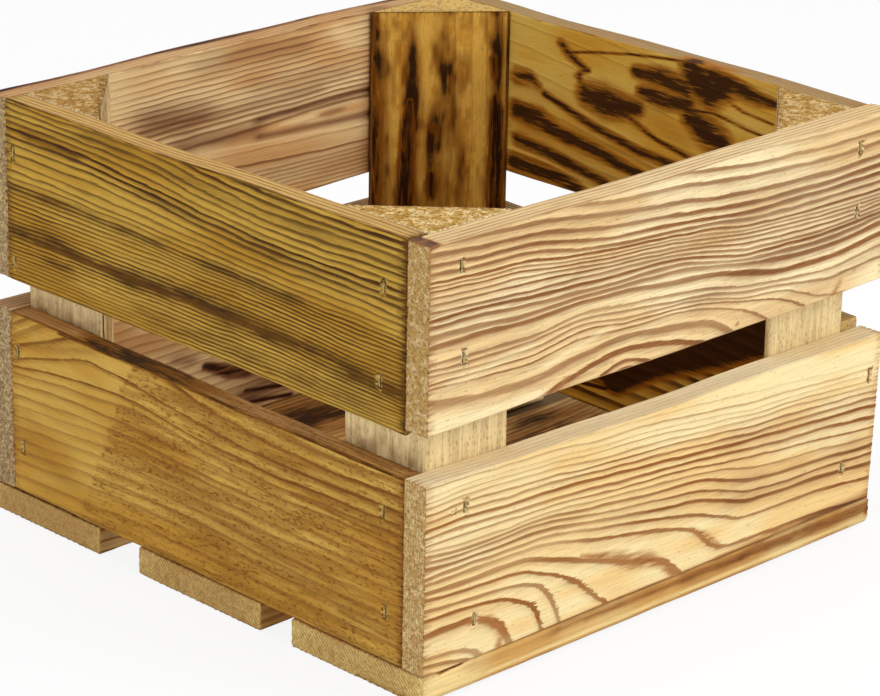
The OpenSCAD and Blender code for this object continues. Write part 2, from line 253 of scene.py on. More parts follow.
def flamed_board(name, place, length, depth, low, high, turns, grain,
                 toast_and_shade=(), burns_and_shade=(), pale_and_highlight=(), crowns=(), tears=(), step=3.0 * MM, across=0.7 * MM,
                 foot_round=0.0, lean_end=(0.0, 0.0), edges=(0.5, 0.5, 0.6), ends=(0.6, 0.6),
                 rim=0.8, rim_char=(0.0, 3.0), end_rings=((0, 1.0, 0.8),), rough=None, inner=False, seed=1):
    """A brushed, flamed board. place is (corner, along, up, inwards), low and high are each
    edge's height at both ends, and turns is where their wander starts. toast_and_shade,
    burns_and_shade and pale_and_highlight are strokes in mm: flame marks and pale wood, with
    a few painted shadows and painted highlights among them. inner keeps the first two to its inner
    face. rim_char is how strongly the flame charred its upper edge, and how far in, in mm."""
    arris, relief, ring_width, kept, pit_depth = 1.2 * MM, 0.2 * MM, 1.9, 2 * MM, 1.35 * MM
    corner, e_s, e_h, e_d = (np.array(v, float) for v in place)
    tall = high[0] - low[0]
    fine_places = [crown[0] for crown in crowns] + [tear[0] * MM for tear in tears]
    grid = [marks(length, 0.8 * MM, step, fine_places), marks(tall, arris, across)]
    grid.append(marks(depth, arris, 1.1 * MM))
    index, quads = box_shell([len(g) for g in grid])
    s, h, d = (grid[k][index[:, k]] for k in range(3))

    # Its long edges wander as the saw did, and the rows beside them keep their spacing
    share = s / length
    low_line = low[0] + (low[1] - low[0]) * share + (0 if turns[0] is None else wander(share, turns[0] + 140))
    high_line = high[0] + (high[1] - high[0]) * share - (0 if turns[1] is None else wander(share, turns[1]))
    wide = high_line - low_line
    between = kept + (h - kept) * (wide - 2 * kept) / (tall - 2 * kept)
    h = np.where(h < kept, h, np.where(tall - h < kept, wide - (tall - h), between))

    # The rounding of its arrises, worn a little more in some places than in others
    worn = arris * (0.75 + 0.5 * mottle(seed, s / 0.02, h / 0.05 + d * 300))
    worn = np.where((h < tall / 2) & (d < depth / 2), np.maximum(worn, foot_round), worn)
    radius = np.stack([np.full_like(s, 0.45 * MM), worn, worn], 1)
    at, size = np.stack([s, h, d], 1), np.stack([np.full_like(s, length), wide, np.full_like(s, depth)], 1)
    core = np.clip(at, radius, size - radius)
    out = (at - core) / radius
    out /= np.maximum(np.linalg.norm(out, axis=1, keepdims=True), 1e-9)
    at = core + out * radius
    along, up = at[:, 0], low_line + at[:, 1]
    up_mm, d_mm = (up - grain.foot) / MM, at[:, 2] / MM

    # Growth rings on its faces, over its sawn ends, and as thin lines along its edges
    ring, late, dark, slant = grain.at(along, up, at[:, 2])
    dark = dark * (0.8 + 0.4 * mottle(seed + 11, along / 0.06, up / 0.008))
    cut = step_up(0.6, 0.9, np.abs(out[:, 0]))
    levels, by_height, by_depth = np.array(end_rings, float).T
    end_ring = np.interp(up_mm, levels, by_height) * up_mm + np.interp(up_mm, levels, by_depth) * d_mm
    end_ring = end_ring / ring_width
    ring, late = np.where(cut > 0.5, end_ring, ring), np.where(cut > 0.5, 0.35, late)
    on_rim = (np.abs(out[:, 1]) > 0.7) & (cut < 0.5)
    if rim > 0:
        rim_ring = d_mm / 2.9 + 0.7 * mottle(seed + 15, along / 0.05, d_mm * 0) + along * 4
        ring, late = np.where(on_rim, rim_ring, ring), np.where(on_rim, 0.4, late)
        slant = np.where(on_rim, 0, slant)

    # Brushing takes the soft early wood deeper than the late wood, and the saw tears the ends
    end = np.minimum(s, length - s)
    end_tear = np.where(s < length / 2, ends[0], ends[1])
    fibre = mottle(seed + 3, along / 0.012, (at[:, 1] + at[:, 2]) / 0.0007)
    torn = mottle(seed + 5, (at[:, 1] + 3 * at[:, 2]) / 0.0016, along / 0.004)
    sink = relief * (1 - late_wood(ring, late)) * (1 - cut) + 0.1 * MM * fibre
    tear_share = np.minimum(end_tear, 1) * (1 - step_up(0.5 * MM, 3.5 * MM, end))
    sink += 0.6 * MM * step_up(0.55, 0.95, torn) * tear_share * (1 - 0.6 * cut)
    raw = np.zeros_like(s)
    if rough is not None:
        levels, border = np.array(rough, float).T
        frayed = 2.5 * (mottle(seed + 13, up_mm / 2.2, s * 0) - 0.5)
        raw = 1 - step_up(-0.8, 0.8, along / MM - np.interp(up_mm, levels, border) - frayed)
        sink += 0.22 * MM * (1 - raw) * (1 - cut)

    # The bed of each staple and each torn spot, with frayed wood round it
    beds = [(c[0], c[1], 3.1 * MM, 0.9 * MM, 1.0) for c in crowns]
    beds += [(t[0] * MM, grain.foot + t[1] * MM, t[2] * MM, t[3] * MM, 0.4) for t in tears]
    frayed = 1.3 * MM * (mottle(seed + 7, along / 0.0011, at[:, 1] / 0.0011) - 0.35)
    pit = np.zeros_like(s)
    for bed_s, bed_h, half_tall, half_wide, deep in beds:
        ds, dh = np.abs(along - bed_s), np.abs(up - bed_h)
        bed, fringe = (
            (1 - step_up(half_wide, half_wide + soft, ds + by))
            * (1 - step_up(half_tall, half_tall + soft, dh + 2 * by))
            for soft, by in ((0.5 * MM, 0), (2.2 * MM, frayed))
        )
        pit = np.maximum(pit, np.where(at[:, 2] < 0.5 * MM, deep * np.maximum(bed, 0.45 * fringe), 0))
    sink += pit_depth * pit
    at = at - out * sink[:, None]

    along, above_foot = at[:, 0], up - grain.foot
    stretch = 1 + (-lean_end[0] + (lean_end[0] + lean_end[1]) * at[:, 1] / wide) / length
    points = corner + np.outer(along * stretch, e_s) + np.outer(low_line + at[:, 1], e_h)
    points = points + np.outer(at[:, 2], e_d)
    flip = np.linalg.det(np.stack([e_s, e_h, e_d])) < 0
    flamed = step_up(0.3, 0.7, at[:, 2] / depth) if inner else 1.0
    smoke = 0.5 * (1 - flamed) * mottle(seed + 18, along / 0.05, up / 0.02)
    rim_burn = rim_char[0] * on_rim * (h > tall / 2) * (1 - step_up(0.3, rim_char[1], d_mm))
    rim_burn = rim_burn * (0.3 + 1.2 * mottle(seed + 17, along / 0.03, d_mm * 0))
    near_corner = np.sort(np.abs(out), axis=1)[:, 1]
    warm = 0.6 * mottle(seed + 12, along / 0.09, up / 0.022)
    warm = warm + 0.4 * mottle(seed + 14, along / 0.03, up / 0.007)
    edge_char = np.where(np.abs(out[:, 0]) > 0.3, edges[2], np.where(h > tall / 2, edges[1], edges[0]))
    masks = {
        "ring": ring, "late": late, "dark": dark, "slant": slant, "cut": cut, "pit": pit, "rough": raw,
        "warm": warm,
        "scorch_and_shade": soft_paint(toast_and_shade, along, above_foot) * flamed + smoke,
        "burn_and_shade": np.maximum(paint(burns_and_shade, along, above_foot) * flamed, rim_burn),
        "pale_and_highlight": soft_paint(pale_and_highlight, along, above_foot),
        "grain": np.stack([along, up, at[:, 2]], 1),
        "rim": rim * step_up(0.6, 0.9, np.abs(out[:, 1])) * (1 - cut),
        "edge": edge_char * step_up(0.12, 0.6, near_corner),
        "end": end_tear * (1 - step_up(0.5 * MM, 6 * MM, end)),
    }
    return make_mesh(name, points, quads[:, ::-1] if flip else quads, masks)


def add_node(tree, kind, **settings):
    """One shader node with its properties and its socket values or links."""
    node = tree.nodes.new(kind)
    sockets = settings.pop("sockets", {})
    for key, value in settings.items():
        setattr(node, key, value)
    for key, value in sockets.items():
        socket = node.inputs[key]
        if isinstance(value, bpy.types.NodeSocket):
            tree.links.new(value, socket)
        else:
            socket.default_value = value
    return node


def maths(tree, operation, first, second=0.0, clamp=False):
    sockets = {0: first, 1: second}
    return add_node(tree, "ShaderNodeMath", operation=operation, use_clamp=clamp, sockets=sockets).outputs[0]


def plus(tree, first, second):
    return maths(tree, "ADD", first, second)


def minus(tree, first, second):
    return maths(tree, "SUBTRACT", first, second)


def times(tree, first, second, clamp=False):
    return maths(tree, "MULTIPLY", first, second, clamp)


def ramp(tree, value, low, high, to_low=0.0, to_high=1.0):
    """Eased change between two values."""
    sockets = {"Value": value, "From Min": low, "From Max": high, "To Min": to_low, "To Max": to_high}
    node = add_node(tree, "ShaderNodeMapRange", interpolation_type="SMOOTHSTEP", sockets=sockets)
    return node.outputs[0]


def blend(tree, share, first, second):
    node = add_node(tree, "ShaderNodeMix", data_type="RGBA", sockets={0: share, 6: first, 7: second})
    return node.outputs[2]


def vector_maths(tree, operation, sockets):
    return add_node(tree, "ShaderNodeVectorMath", operation=operation, sockets=sockets).outputs[0]


def noise(tree, vector, stretch, detail=2.0, rough=0.5, seed=0.0):
    """Noise over the board's own grain coordinates, stretched along the fibres."""
    scaled = vector_maths(tree, "MULTIPLY", {0: vector, 1: stretch})
    shifted = vector_maths(tree, "ADD", {0: scaled, 1: (seed, seed * 1.7, seed * 0.6)})
    settings = {"Vector": shifted, "Scale": 1.0, "Detail": detail, "Roughness": rough}
    return add_node(tree, "ShaderNodeTexNoise", sockets=settings).outputs["Fac"]


def shader_group(name, inputs, outputs):
    """An empty shader node group with named sockets: (name, kind, value)."""
    group = bpy.data.node_groups.new(name, "ShaderNodeTree")
    for label, kind, value in inputs:
        socket = group.interface.new_socket(name=label, in_out="INPUT", socket_type="NodeSocket" + kind)
        if value is not None:
            socket.default_value = value
    for label, kind in outputs:
        group.interface.new_socket(name=label, in_out="OUTPUT", socket_type="NodeSocket" + kind)
    return group, group.nodes.new("NodeGroupInput").outputs, group.nodes.new("NodeGroupOutput").inputs


def build_flamed_grain():
    """Growth rings of flamed and brushed pine, with its fibres, scorch and charred arrises,
    and the painted shade and painted highlights that some strokes carry.
    """
    group, given, result = shader_group(
        "flamed grain",
        [
            ("Ring", "Float", 0), ("Late", "Float", 0.3), ("Dark", "Float", 1), ("Slant", "Float", 0),
            ("Warm share", "Float", 0.5), ("Scorch and shade", "Float", 0), ("Burn and shade", "Float", 0),
            ("Bleach and highlight", "Float", 0),
            ("Grain", "Vector", None),
            ("Cut", "Float", 0), ("Rim share", "Float", 0), ("Edge", "Float", 0), ("End", "Float", 0),
            ("Pit", "Float", 0), ("Rough", "Float", 0),
            ("Pale", "Color", None), ("Warm", "Color", None), ("Line", "Color", None),
            ("Brown", "Color", None),
            ("Char", "Color", None), ("Sawn", "Color", None), ("Rim", "Color", None),
            ("Jag", "Float", 0.16), ("Fibre", "Float", 1), ("Speck", "Float", 0), ("Shoulder", "Float", 0.4),
            ("Ragged", "Float", 1), ("Fleck", "Float", 1), ("Stripes", "Float", 1), ("Cloud", "Float", 0.4),
            ("Seed", "Float", 0),
        ],
        [("Color", "Color"), ("Roughness", "Float"), ("Height", "Float")],
    )
    t = group
    seed = add_node(t, "ShaderNodeCombineXYZ", sockets={k: given["Seed"] for k in range(3)}).outputs[0]
    moved = vector_maths(t, "ADD", {0: given["Grain"], 1: seed})
    fine = noise(t, moved, (85, 1500, 1500), 3.0, 0.6)
    coarse = noise(t, moved, (38, 380, 380), 2.0, 0.5, 4.0)
    wobble = minus(t, plus(t, times(t, fine, 0.6), times(t, coarse, 0.4)), 0.5)

    # Where the rings cross the fibres on a slant, their edge breaks up into bristles
    bristle = times(t, ramp(t, fine, 0.34, 0.72), times(t, given["Slant"], 3.4))
    jag = plus(t, given["Jag"], times(t, given["Cut"], 1.1))
    ring = plus(t, given["Ring"], times(t, wobble, jag))
    line = maths(t, "FLOOR", plus(t, ring, 0.5))
    side = minus(t, ring, line)
    cloud = minus(t, noise(t, moved, (45, 170, 170), 3.0, 0.6, 12.0), 0.5)
    cloud = times(t, cloud, times(t, given["Cloud"], 3.0))
    patchy = plus(t, plus(t, 0.75, times(t, coarse, 0.5)), cloud)
    toast_and_shade_share = times(t, given["Scorch and shade"], maths(t, "MAXIMUM", patchy, 0.0))
    late = times(t, given["Late"], plus(t, 1.0, times(t, toast_and_shade_share, 0.3)))
    rise = ramp(t, side, times(t, late, -0.85), times(t, late, -0.1))
    fall = ramp(t, minus(t, side, bristle), times(t, late, 0.3), times(t, late, 0.55), 1.0, 0.0)
    core = times(t, rise, fall)
    shoulder = times(t, ramp(t, side, times(t, late, -2.2), times(t, late, -0.2)), fall)
    shoulder = times(t, shoulder, times(t, given["Shoulder"], ramp(t, fine, 0.3, 0.62, 0.3, 1.2)))
    numbered = plus(t, line, given["Seed"])
    chance = add_node(t, "ShaderNodeTexWhiteNoise", noise_dimensions="1D", sockets={"W": numbered}).outputs
    strength = times(t, given["Dark"], plus(t, 0.78, times(t, chance["Value"], 0.3)))
    kept = minus(t, 1.0, times(t, given["Bleach and highlight"], 0.8))
    strength = times(t, strength, kept)
    band = times(t, maths(t, "MAXIMUM", core, shoulder), strength, clamp=True)

    # Early wood runs from pale to warm; bleached wood and painted highlights go pale, and the flame
    # and painted shade turn both towards brown
    body = blend(t, ramp(t, given["Warm share"], 0.3, 0.7), given["Pale"], given["Warm"])
    body = blend(t, given["Bleach and highlight"], body, given["Pale"])
    scorch_and_shade = maths(t, "MINIMUM", toast_and_shade_share, 1.0)
    body = blend(t, times(t, scorch_and_shade, 0.8), body, given["Brown"])
    hairy = blend(t, ramp(t, fine, 0.44, 0.66, 0.0, 0.55), given["Line"], given["Brown"])
    lined = blend(t, band, body, hairy)
    inked = times(t, times(t, scorch_and_shade, core), given["Dark"])
    lined = blend(t, times(t, inked, 0.5), lined, given["Char"])
    smoky_and_shaded = times(t, toast_and_shade_share, plus(t, 0.62, times(t, fine, 0.76)))
    lined = blend(t, ramp(t, smoky_and_shaded, 0.9, 1.7, 0.0, 0.94), lined, given["Char"])

    # Top and bottom edges have their own colour, with thin lines along them
    tatter = noise(t, moved, (75, 620, 620), 3.0, 0.65, 8.0)
    lined = blend(t, times(t, given["Rim share"], 0.85), lined, given["Rim"])
    stripes = times(t, times(t, core, given["Stripes"]), minus(t, times(t, tatter, 1.6), 0.3))
    lined = blend(t, times(t, given["Rim share"], stripes), lined, given["Line"])

    # Burnt marks, and painted shadow lines drawn with them, keep ragged edges along the fibres,
    # with a brown rim round the char
    gust = plus(t, times(t, minus(t, tatter, 0.5), 2.4), times(t, minus(t, fine, 0.5), 1.6))
    flame_and_shade = times(t, given["Burn and shade"], plus(t, 0.95, times(t, gust, given["Ragged"])))
    lined = blend(t, ramp(t, flame_and_shade, 0.0, 0.36, 0.0, 0.9), lined, given["Brown"])
    ember = blend(t, ramp(t, coarse, 0.46, 0.66, 0.0, 0.6), given["Char"], given["Line"])
    lined = blend(t, ramp(t, flame_and_shade, 0.3, 0.72, 0.0, 0.95), lined, ember)

    # Fibres, and small dashes where resin ducts and torn cells were cut open
    streak = noise(t, moved, (55, 2900, 2900), 2.0, 0.6, 1.0)
    shade = plus(t, 1.0, times(t, minus(t, ramp(t, streak, 0.25, 0.75, 0.84, 1.12), 1.0), given["Fibre"]))
    shaded = vector_maths(t, "SCALE", {0: lined, "Scale": shade})
    cells = noise(t, moved, (430, 1000, 1000), 1.0, 0.4, 7.0)
    duct = times(t, ramp(t, cells, 0.68, 0.76), plus(t, given["Speck"], 0.1), clamp=True)
    uneven = ramp(t, coarse, 0.35, 0.65)
    dots = times(t, times(t, ramp(t, cells, 0.56, 0.66), given["Rough"]), plus(t, 0.4, times(t, uneven, 0.6)))
    ducted = blend(t, times(t, given["Rough"], times(t, uneven, 0.5)), shaded, given["Brown"])
    ducted = blend(t, maths(t, "MAXIMUM", duct, times(t, dots, 0.75)), ducted, given["Line"])

    # Sawn ends: grey and granular, with the rings as rows of dark flecks
    fleck = noise(t, moved, (2000, 800, 800), 3.0, 0.7, 3.0)
    patch = noise(t, moved, (2000, 260, 260), 2.0, 0.6, 5.0)
    rows = times(t, core, ramp(t, fleck, 0.34, 0.56, 0.15, 0.75))
    flecks = times(t, ramp(t, fleck, 0.5, 0.64, 0.0, 0.8), given["Fleck"])
    spotted = maths(t, "MAXIMUM", rows, flecks, clamp=True)
    sawn = blend(t, ramp(t, patch, 0.46, 0.62, 0.0, 0.6), given["Sawn"], given["Pale"])
    sawn = blend(t, ramp(t, patch, 0.36, 0.5, 0.3, 0.0), sawn, given["Brown"])
    sawn = blend(t, times(t, scorch_and_shade, 0.6), sawn, given["Brown"])
    sawn = blend(t, spotted, sawn, given["Brown"])
    faced = blend(t, given["Cut"], ducted, sawn)

    # The flame chars thin arrises, torn ends and the fibres round a staple
    arris = times(t, given["Edge"], ramp(t, tatter, 0.4, 0.62), clamp=True)
    charred = blend(t, times(t, arris, 0.8), faced, given["Brown"])
    black = times(t, given["Edge"], ramp(t, tatter, 0.56, 0.7))
    charred = blend(t, times(t, black, 0.75), charred, given["Char"])
    end = times(t, given["End"], ramp(t, tatter, 0.36, 0.56), clamp=True)
    ended = blend(t, times(t, end, 0.7), charred, given["Brown"])
    black = times(t, given["End"], ramp(t, tatter, 0.52, 0.64))
    ended = blend(t, times(t, black, 0.75), ended, given["Char"])
    torn = blend(t, ramp(t, tatter, 0.42, 0.58), given["Line"], given["Pale"])
    torn = blend(t, ramp(t, given["Pit"], 0.5, 0.9), torn, given["Line"])
    finished = blend(t, ramp(t, given["Pit"], 0.03, 0.4, 0.0, 0.9), ended, torn)
    t.links.new(finished, result["Color"])
    t.links.new(ramp(t, core, 0.0, 1.0, 0.78, 0.62), result["Roughness"])
    raised = plus(t, times(t, core, 0.55), times(t, streak, 0.5))
    raised = plus(t, raised, times(t, given["Cut"], times(t, fleck, 2.2)))
    t.links.new(minus(t, raised, times(t, dots, 1.2)), result["Height"])
    return group


flamed_grain = build_flamed_grain()


def flamed_finish(name, colours, bump=0.45, **values):
    """A flamed pine material. colours are pale, warm, line, brown, char, sawn and rim."""
    material = bpy.data.materials.new(name)
    material.use_nodes = True
    tree = material.node_tree
    tree.nodes.clear()
    sockets = dict(zip(("Pale", "Warm", "Line", "Brown", "Char", "Sawn", "Rim"), colours))
    sockets.update(values)
    for key, mask in (
        ("Ring", "ring"), ("Late", "late"), ("Dark", "dark"), ("Slant", "slant"), ("Warm share", "warm"),
        ("Scorch and shade", "scorch_and_shade"), ("Burn and shade", "burn_and_shade"), ("Bleach and highlight", "pale_and_highlight"), ("Cut", "cut"), ("Rim share", "rim"),
        ("Edge", "edge"), ("End", "end"), ("Pit", "pit"), ("Rough", "rough"),
    ):
        sockets[key] = add_node(tree, "ShaderNodeAttribute", attribute_name=mask).outputs["Fac"]
    sockets["Grain"] = add_node(tree, "ShaderNodeAttribute", attribute_name="grain").outputs["Vector"]
    wood = add_node(tree, "ShaderNodeGroup", node_tree=flamed_grain, sockets=sockets).outputs
    relief = {"Strength": bump, "Distance": 0.0004, "Height": wood["Height"]}
    bumped = add_node(tree, "ShaderNodeBump", sockets=relief).outputs[0]
    surface = add_node(tree, "ShaderNodeBsdfPrincipled", sockets={
        "Base Color": wood["Color"], "Roughness": wood["Roughness"], "Normal": bumped,
        "Specular IOR Level": 0.1})
    shown = add_node(tree, "ShaderNodeOutputMaterial")
    tree.links.new(surface.outputs[0], shown.inputs[0])
    return material


def fit(piece, material, node):
    """Gives a piece its finish, stands it in for its CAD node and lets it ride on the crate."""
    piece.data.materials.append(material)
    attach(piece, "root")
    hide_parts(node)


front_place = ((X_LEFT, Y_FRONT, 0), (1, 0, 0), (0, 0, 1), (0, 1, 0))
front_lower_crowns = crown_places("front_lower_staples", Vector((X_LEFT, Y_FRONT, 0)), Vector((1, 0, 0)))
front_lower_grain = Grain(
    LONG_LENGTH, FLOOR_TOP, [0, 25, 45, 60, 68, 78, 90, 110, 130, 150, 170, 190, 210, 235, 260, 300],
    [
        (0, 2.2, 0.9, [9, 5.5, -8, -16, -20, -24, -27, -29, -29, -29, -29, -29, -29, -29, -29, -29]),
        (1, 4.6, 0.85, [19.5, 19.5, 12, -14, -18, -22, -25, -27, -27, -27, -27, -27, -27, -27, -27, -27]),
        (1, 1.7, 0.95, [26.5, 26, 23.5, 18.5, 13, -14, -20, -24, -25, -25, -25, -25, -25, -25, -25, -25]),
        (1, 2.1, 0.95, [31, 29.7, 28, 26, 24, 15, -12, -20, -23, -23, -23, -23, -23, -23, -23, -23]),
        (1, 1.7, 1.0, [36, 34.7, 33.3, 31.8, 29.5, 26, 20, 4, -14, -20, -21, -21, -21, -21, -21, -21]),
        (1, 3.2, 0.9, [39.5, 38.8, 38.2, 37.5, 36, 33, 29.5, 22.5, 16.5, 11, -4, -14, -18, -19, -19, -19]),
        (1, 2.2, 1.0, [44, 43, 42.7, 42.4, 42.2, 41, 38.5, 34, 30, 26.5, 20.5, 6.5, 4.3, 4, 3, 0]),
        (1, 1.7, 1.0, [47, 46, 45.7, 45.7, 45.5, 44.8, 43, 39, 35.5, 32, 28, 21.5, 16.2, 15.7, 14.7, 11]),
        (1, 2.1, 1.15, [50.5, 49.3, 49.2, 49.5, 49, 48, 46.5, 43, 40, 37, 34.7, 29.5, 24.3, 22.8, 21.8,
                        18.5]),
        (1, 1.2, 0.95, [53.5, 52.5, 52.5, 52.8, 52.3, 51, 49.5, 46.5, 44.2, 41.7, 39.4, 34.5, 29, 26.9, 26,
                        24]),
        (1, 1.9, 1.1, [56, 54.8, 54.6, 54.7, 54.5, 53.5, 52, 50, 47.6, 45.7, 44, 39.7, 34.3, 32.2, 30.5, 28]),
        (1, 1.1, 0.85, [58.7, 57.3, 56.9, 56.8, 56.6, 56, 55, 53, 51, 49.5, 47.3, 44.5, 40.2, 37.5, 35.5,
                        32.3]),
        (1, 1.2, 0.9, [61.5, 61, 60.4, 59.9, 59.5, 59, 57.8, 55.7, 54, 52.6, 50.6, 48, 45.5, 43.6, 40.6, 37]),
        (1, 1.9, 1.05, [65, 64.6, 63.6, 63, 62.7, 62, 61, 58.8, 57.2, 55.8, 54, 52.2, 50, 47.8, 46, 42]),
        (1, 1.9, 1.05, [69, 68.5, 67.5, 67, 66.7, 66, 65.3, 63.2, 61.5, 59.8, 57.7, 56, 54.7, 52.8, 51.2,
                        48]),
        (1, 1.5, 0.9, [73, 72.2, 71.3, 70.8, 70.5, 70, 68.8, 66.8, 65, 63.5, 61.5, 59.7, 57.8, 56.5, 55, 52]),
        (1, 1.2, 0.8, [76, 75.8, 75, 73.8, 73.5, 72.8, 71.6, 70, 68.5, 67, 65.2, 63.5, 61.3, 59.8, 58.5,
                       55.5]),
        (1, 1.2, 0.7, [79, 79, 78, 77, 76.7, 76.2, 75, 73, 71.5, 70.5, 68.3, 66.5, 64.8, 63.5, 62, 59]),
        (1, 0.8, 0.5, [81.5, 81.6, 80.8, 79.8, 79.5, 79, 78, 76.5, 75, 74, 71, 69.5, 67.3, 66, 64.8, 61.5]),
        (1, 0.8, 0.4, [84, 84, 83.2, 82, 81.8, 81, 80.5, 79, 77.8, 76.5, 74.5, 72.3, 69.7, 68.5, 67.5, 65]),
        (1, 1.1, 0.7, [88, 87.2, 86.3, 85.7, 85.5, 85, 83.8, 82, 81, 79.8, 77.5, 75.3, 73, 71.5, 70.2, 68]),
        (1, 0.7, 0.35, [92, 91, 90, 89.3, 89, 88.5, 87.5, 86, 84.7, 83.5, 82, 80.5, 78, 76, 74, 71]),
        (1, 0.7, 0.2, [98, 97, 96, 95, 94.5, 94, 93, 92, 91, 90, 89, 88, 87, 86, 85, 84]),
    ],
    ridges=(), lean=0.7, seed=11)
front_colours = [tone(243, 222, 168), tone(237, 202, 138), tone(144, 88, 38), tone(170, 114, 62),
                 tone(62, 36, 24),
                 tone(200, 184, 122), tone(228, 210, 174)]
front_lower = flamed_board(
    "front_lower_slat_wood", front_place, LONG_LENGTH, LONG_BOARD, (FLOOR_TOP, FLOOR_TOP), (0.1035, 0.099),
    (None, 60),
    front_lower_grain,
    toast_and_shade=[(1.3, [(190, 0, 2), (225, 0, 3), (250, 1, 3.5), (300, 1.5, 4)]),
           (0.5, [(60, 0, 1.2), (200, 0, 2)]),
           (0.25, [(120, 40, 12), (200, 34, 16)]), (0.45, [(200, 26, 8), (300, 20, 12)]),
           (0.4, [(200, 36, 4), (300, 30, 6)]), (0.2, [(0, 52, 8), (90, 50, 7)]),
           (0.35, [(200, 56, 12), (300, 46, 16)])],
    burns_and_shade=[(0.4, [(96, 29.5, 1.4), (110, 25, 3.6), (122, 21, 5.4), (132, 16.5, 6.6), (143, 14, 6),
                  (152, 9, 4),
                  (160, 1, 2.6)]),
           (0.36, [(170, 21, 2), (182, 14, 3.2), (190, 7, 3)]),
           (0.36, [(26, 19, 2.4), (40, 16, 4.2), (48, 8, 4.6), (46, 1, 3.6)]),
           # The thin dark line along the foot from 78 to 230 mm, where the slat meets the floor board, is a
           # painted shadow.
           (0.6, [(78, 0, 0.9), (120, 0, 1.8), (180, 0, 1.6), (230, 0, 1.0)])],
    pale_and_highlight=[(0.35, [(0, 50, 26), (110, 44, 24)]), (0.9, [(287, 66, 1.6), (301, 67, 3.2)]),
          (0.6, [(215, 80, 7), (300, 72, 9)])],
    crowns=front_lower_crowns, tears=[(17, 73, 1.6, 1.2)], lean_end=(1.0 * MM, 2.5 * MM), step=2.4 * MM,
    edges=(0.7, 0.1, 0.9), rim=0.75, end_rings=((0, 0.06, 1.5), (90, 0.1, 1.2)), seed=21)
front_lower_finish = flamed_finish(
    "flamed pine, front lower", front_colours, Jag=0.26, Fibre=0.9, Speck=0.2, Shoulder=0.3, Stripes=0.35,
    Seed=1.0)
fit(front_lower, front_lower_finish, "front_lower_slat")

# Front upper slat: the same batten, from a wilder log. Wide bands run under the rim,
# fine ones through the middle, and the foot shows rounded figures. Four staples hold it.
front_upper_crowns = crown_places("front_upper_staples", Vector((X_LEFT, Y_FRONT, 0)), Vector((1, 0, 0)))
front_upper_grain = Grain(
    LONG_LENGTH, 0.124, [0, 30, 60, 90, 120, 150, 175, 200, 225, 260, 295],
    [
        (0, 2.0, 1.0, [-26, -26, -24, -6, 6.2, -6, -24, -26, -26, -26, -26]),
        (1, 3.2, 1.1, [-12, -9, 0, 7.5, 11.5, 7, 0, -8, -14, -18, -20]),
        (1, 4.4, 1.05, [16.5, 12.5, 11.5, 15, 17.5, 13.8, 10.5, -3, -8, -12, -14]),
        (1, 1.1, 0.9, [23, 21.3, 19.3, 23.3, 21.5, 20.3, 17.5, 10.5, -2, -8, -8]),
        (1, 1.1, 0.9, [25, 24, 23.2, 26.8, 24, 22.3, 20, 15, 10.2, -4, -2]),
        (1, 1.2, 0.75, [28.5, 27, 26.5, 29.5, 26, 24.4, 22, 16.5, 14, 4, 2]),
        (1, 1.6, 0.8, [31, 30, 30, 32, 29.5, 26.3, 24, 19.3, 16.8, 12.5, 14]),
        (1, 1.4, 0.8, [34, 33, 32, 34.5, 32.3, 29.5, 26.8, 22, 19.3, 17, 20]),
        (1, 3.6, 1.05, [41, 41, 39.5, 40.2, 38.3, 34.8, 33, 28.5, 24, 22.7, 26]),
        (1, 2.8, 1.0, [45.5, 44.3, 42.5, 43, 41.7, 40, 37, 33.3, 30.3, 28.6, 31.5]),
        (1, 2.2, 1.0, [50, 49, 47, 45.8, 44, 43.3, 39, 35, 33.5, 32, 35]),
        (1, 1.7, 1.0, [53.5, 52.5, 50.3, 48.8, 47.2, 46, 42, 37.6, 36.5, 35, 37]),
        (1, 1.3, 0.85, [57, 54.8, 53, 51.5, 49.8, 48, 44.5, 40, 38.5, 37, 39]),
        (1, 1.2, 0.85, [60, 58.5, 56.5, 54.3, 51.8, 49.8, 47, 42.6, 41, 39.6, 41]),
        (1, 1.2, 0.9, [63, 61.3, 59.5, 56.5, 53.5, 51.5, 48.7, 45.3, 43.5, 42, 43]),
        (1, 1.1, 0.9, [66, 64.3, 62, 58.5, 55.8, 53.5, 50.6, 47.3, 45.7, 44, 44.7]),
        (1, 1.0, 0.9, [68, 66.3, 64, 60.2, 57.5, 55.1, 52.4, 49, 47.7, 46, 46.2]),
        (1, 1.5, 1.0, [70.3, 68.2, 66, 62.3, 59.3, 57, 54.4, 51.2, 49.6, 48.5, 48.5]),
        (1, 2.0, 1.05, [74, 71.6, 69.7, 64.8, 61, 59.5, 57, 54.4, 53.2, 52.5, 52.5]),
        (1, 2.1, 1.05, [78, 75.3, 73.5, 68.6, 64.5, 63, 60, 57.5, 57, 56.6, 56.5]),
        (1, 2.3, 1.0, [82.5, 80, 78, 73.6, 69.6, 67, 64, 61.5, 60.5, 60.2, 60.5]),
        (1, 2.5, 0.95, [86.5, 85, 83, 79.5, 75.6, 72.5, 69.3, 66.8, 65.4, 64.5, 65]),
        (1, 2.4, 0.85, [93, 91, 89, 85, 81, 79.5, 77, 74.5, 72.6, 71, 72]),
        (1, 2.2, 0.75, [99, 97, 95, 91, 88, 85.5, 82.5, 80, 78.5, 77.3, 77.5]),
        (1, 2.0, 0.6, [105, 103, 101, 97, 94, 92, 90, 87, 85, 83.5, 84]),
        (1, 1.5, 0.5, [111, 109, 107, 103, 100, 98, 96, 94, 92, 90, 91]),
    ], lean=0.9, seed=12)
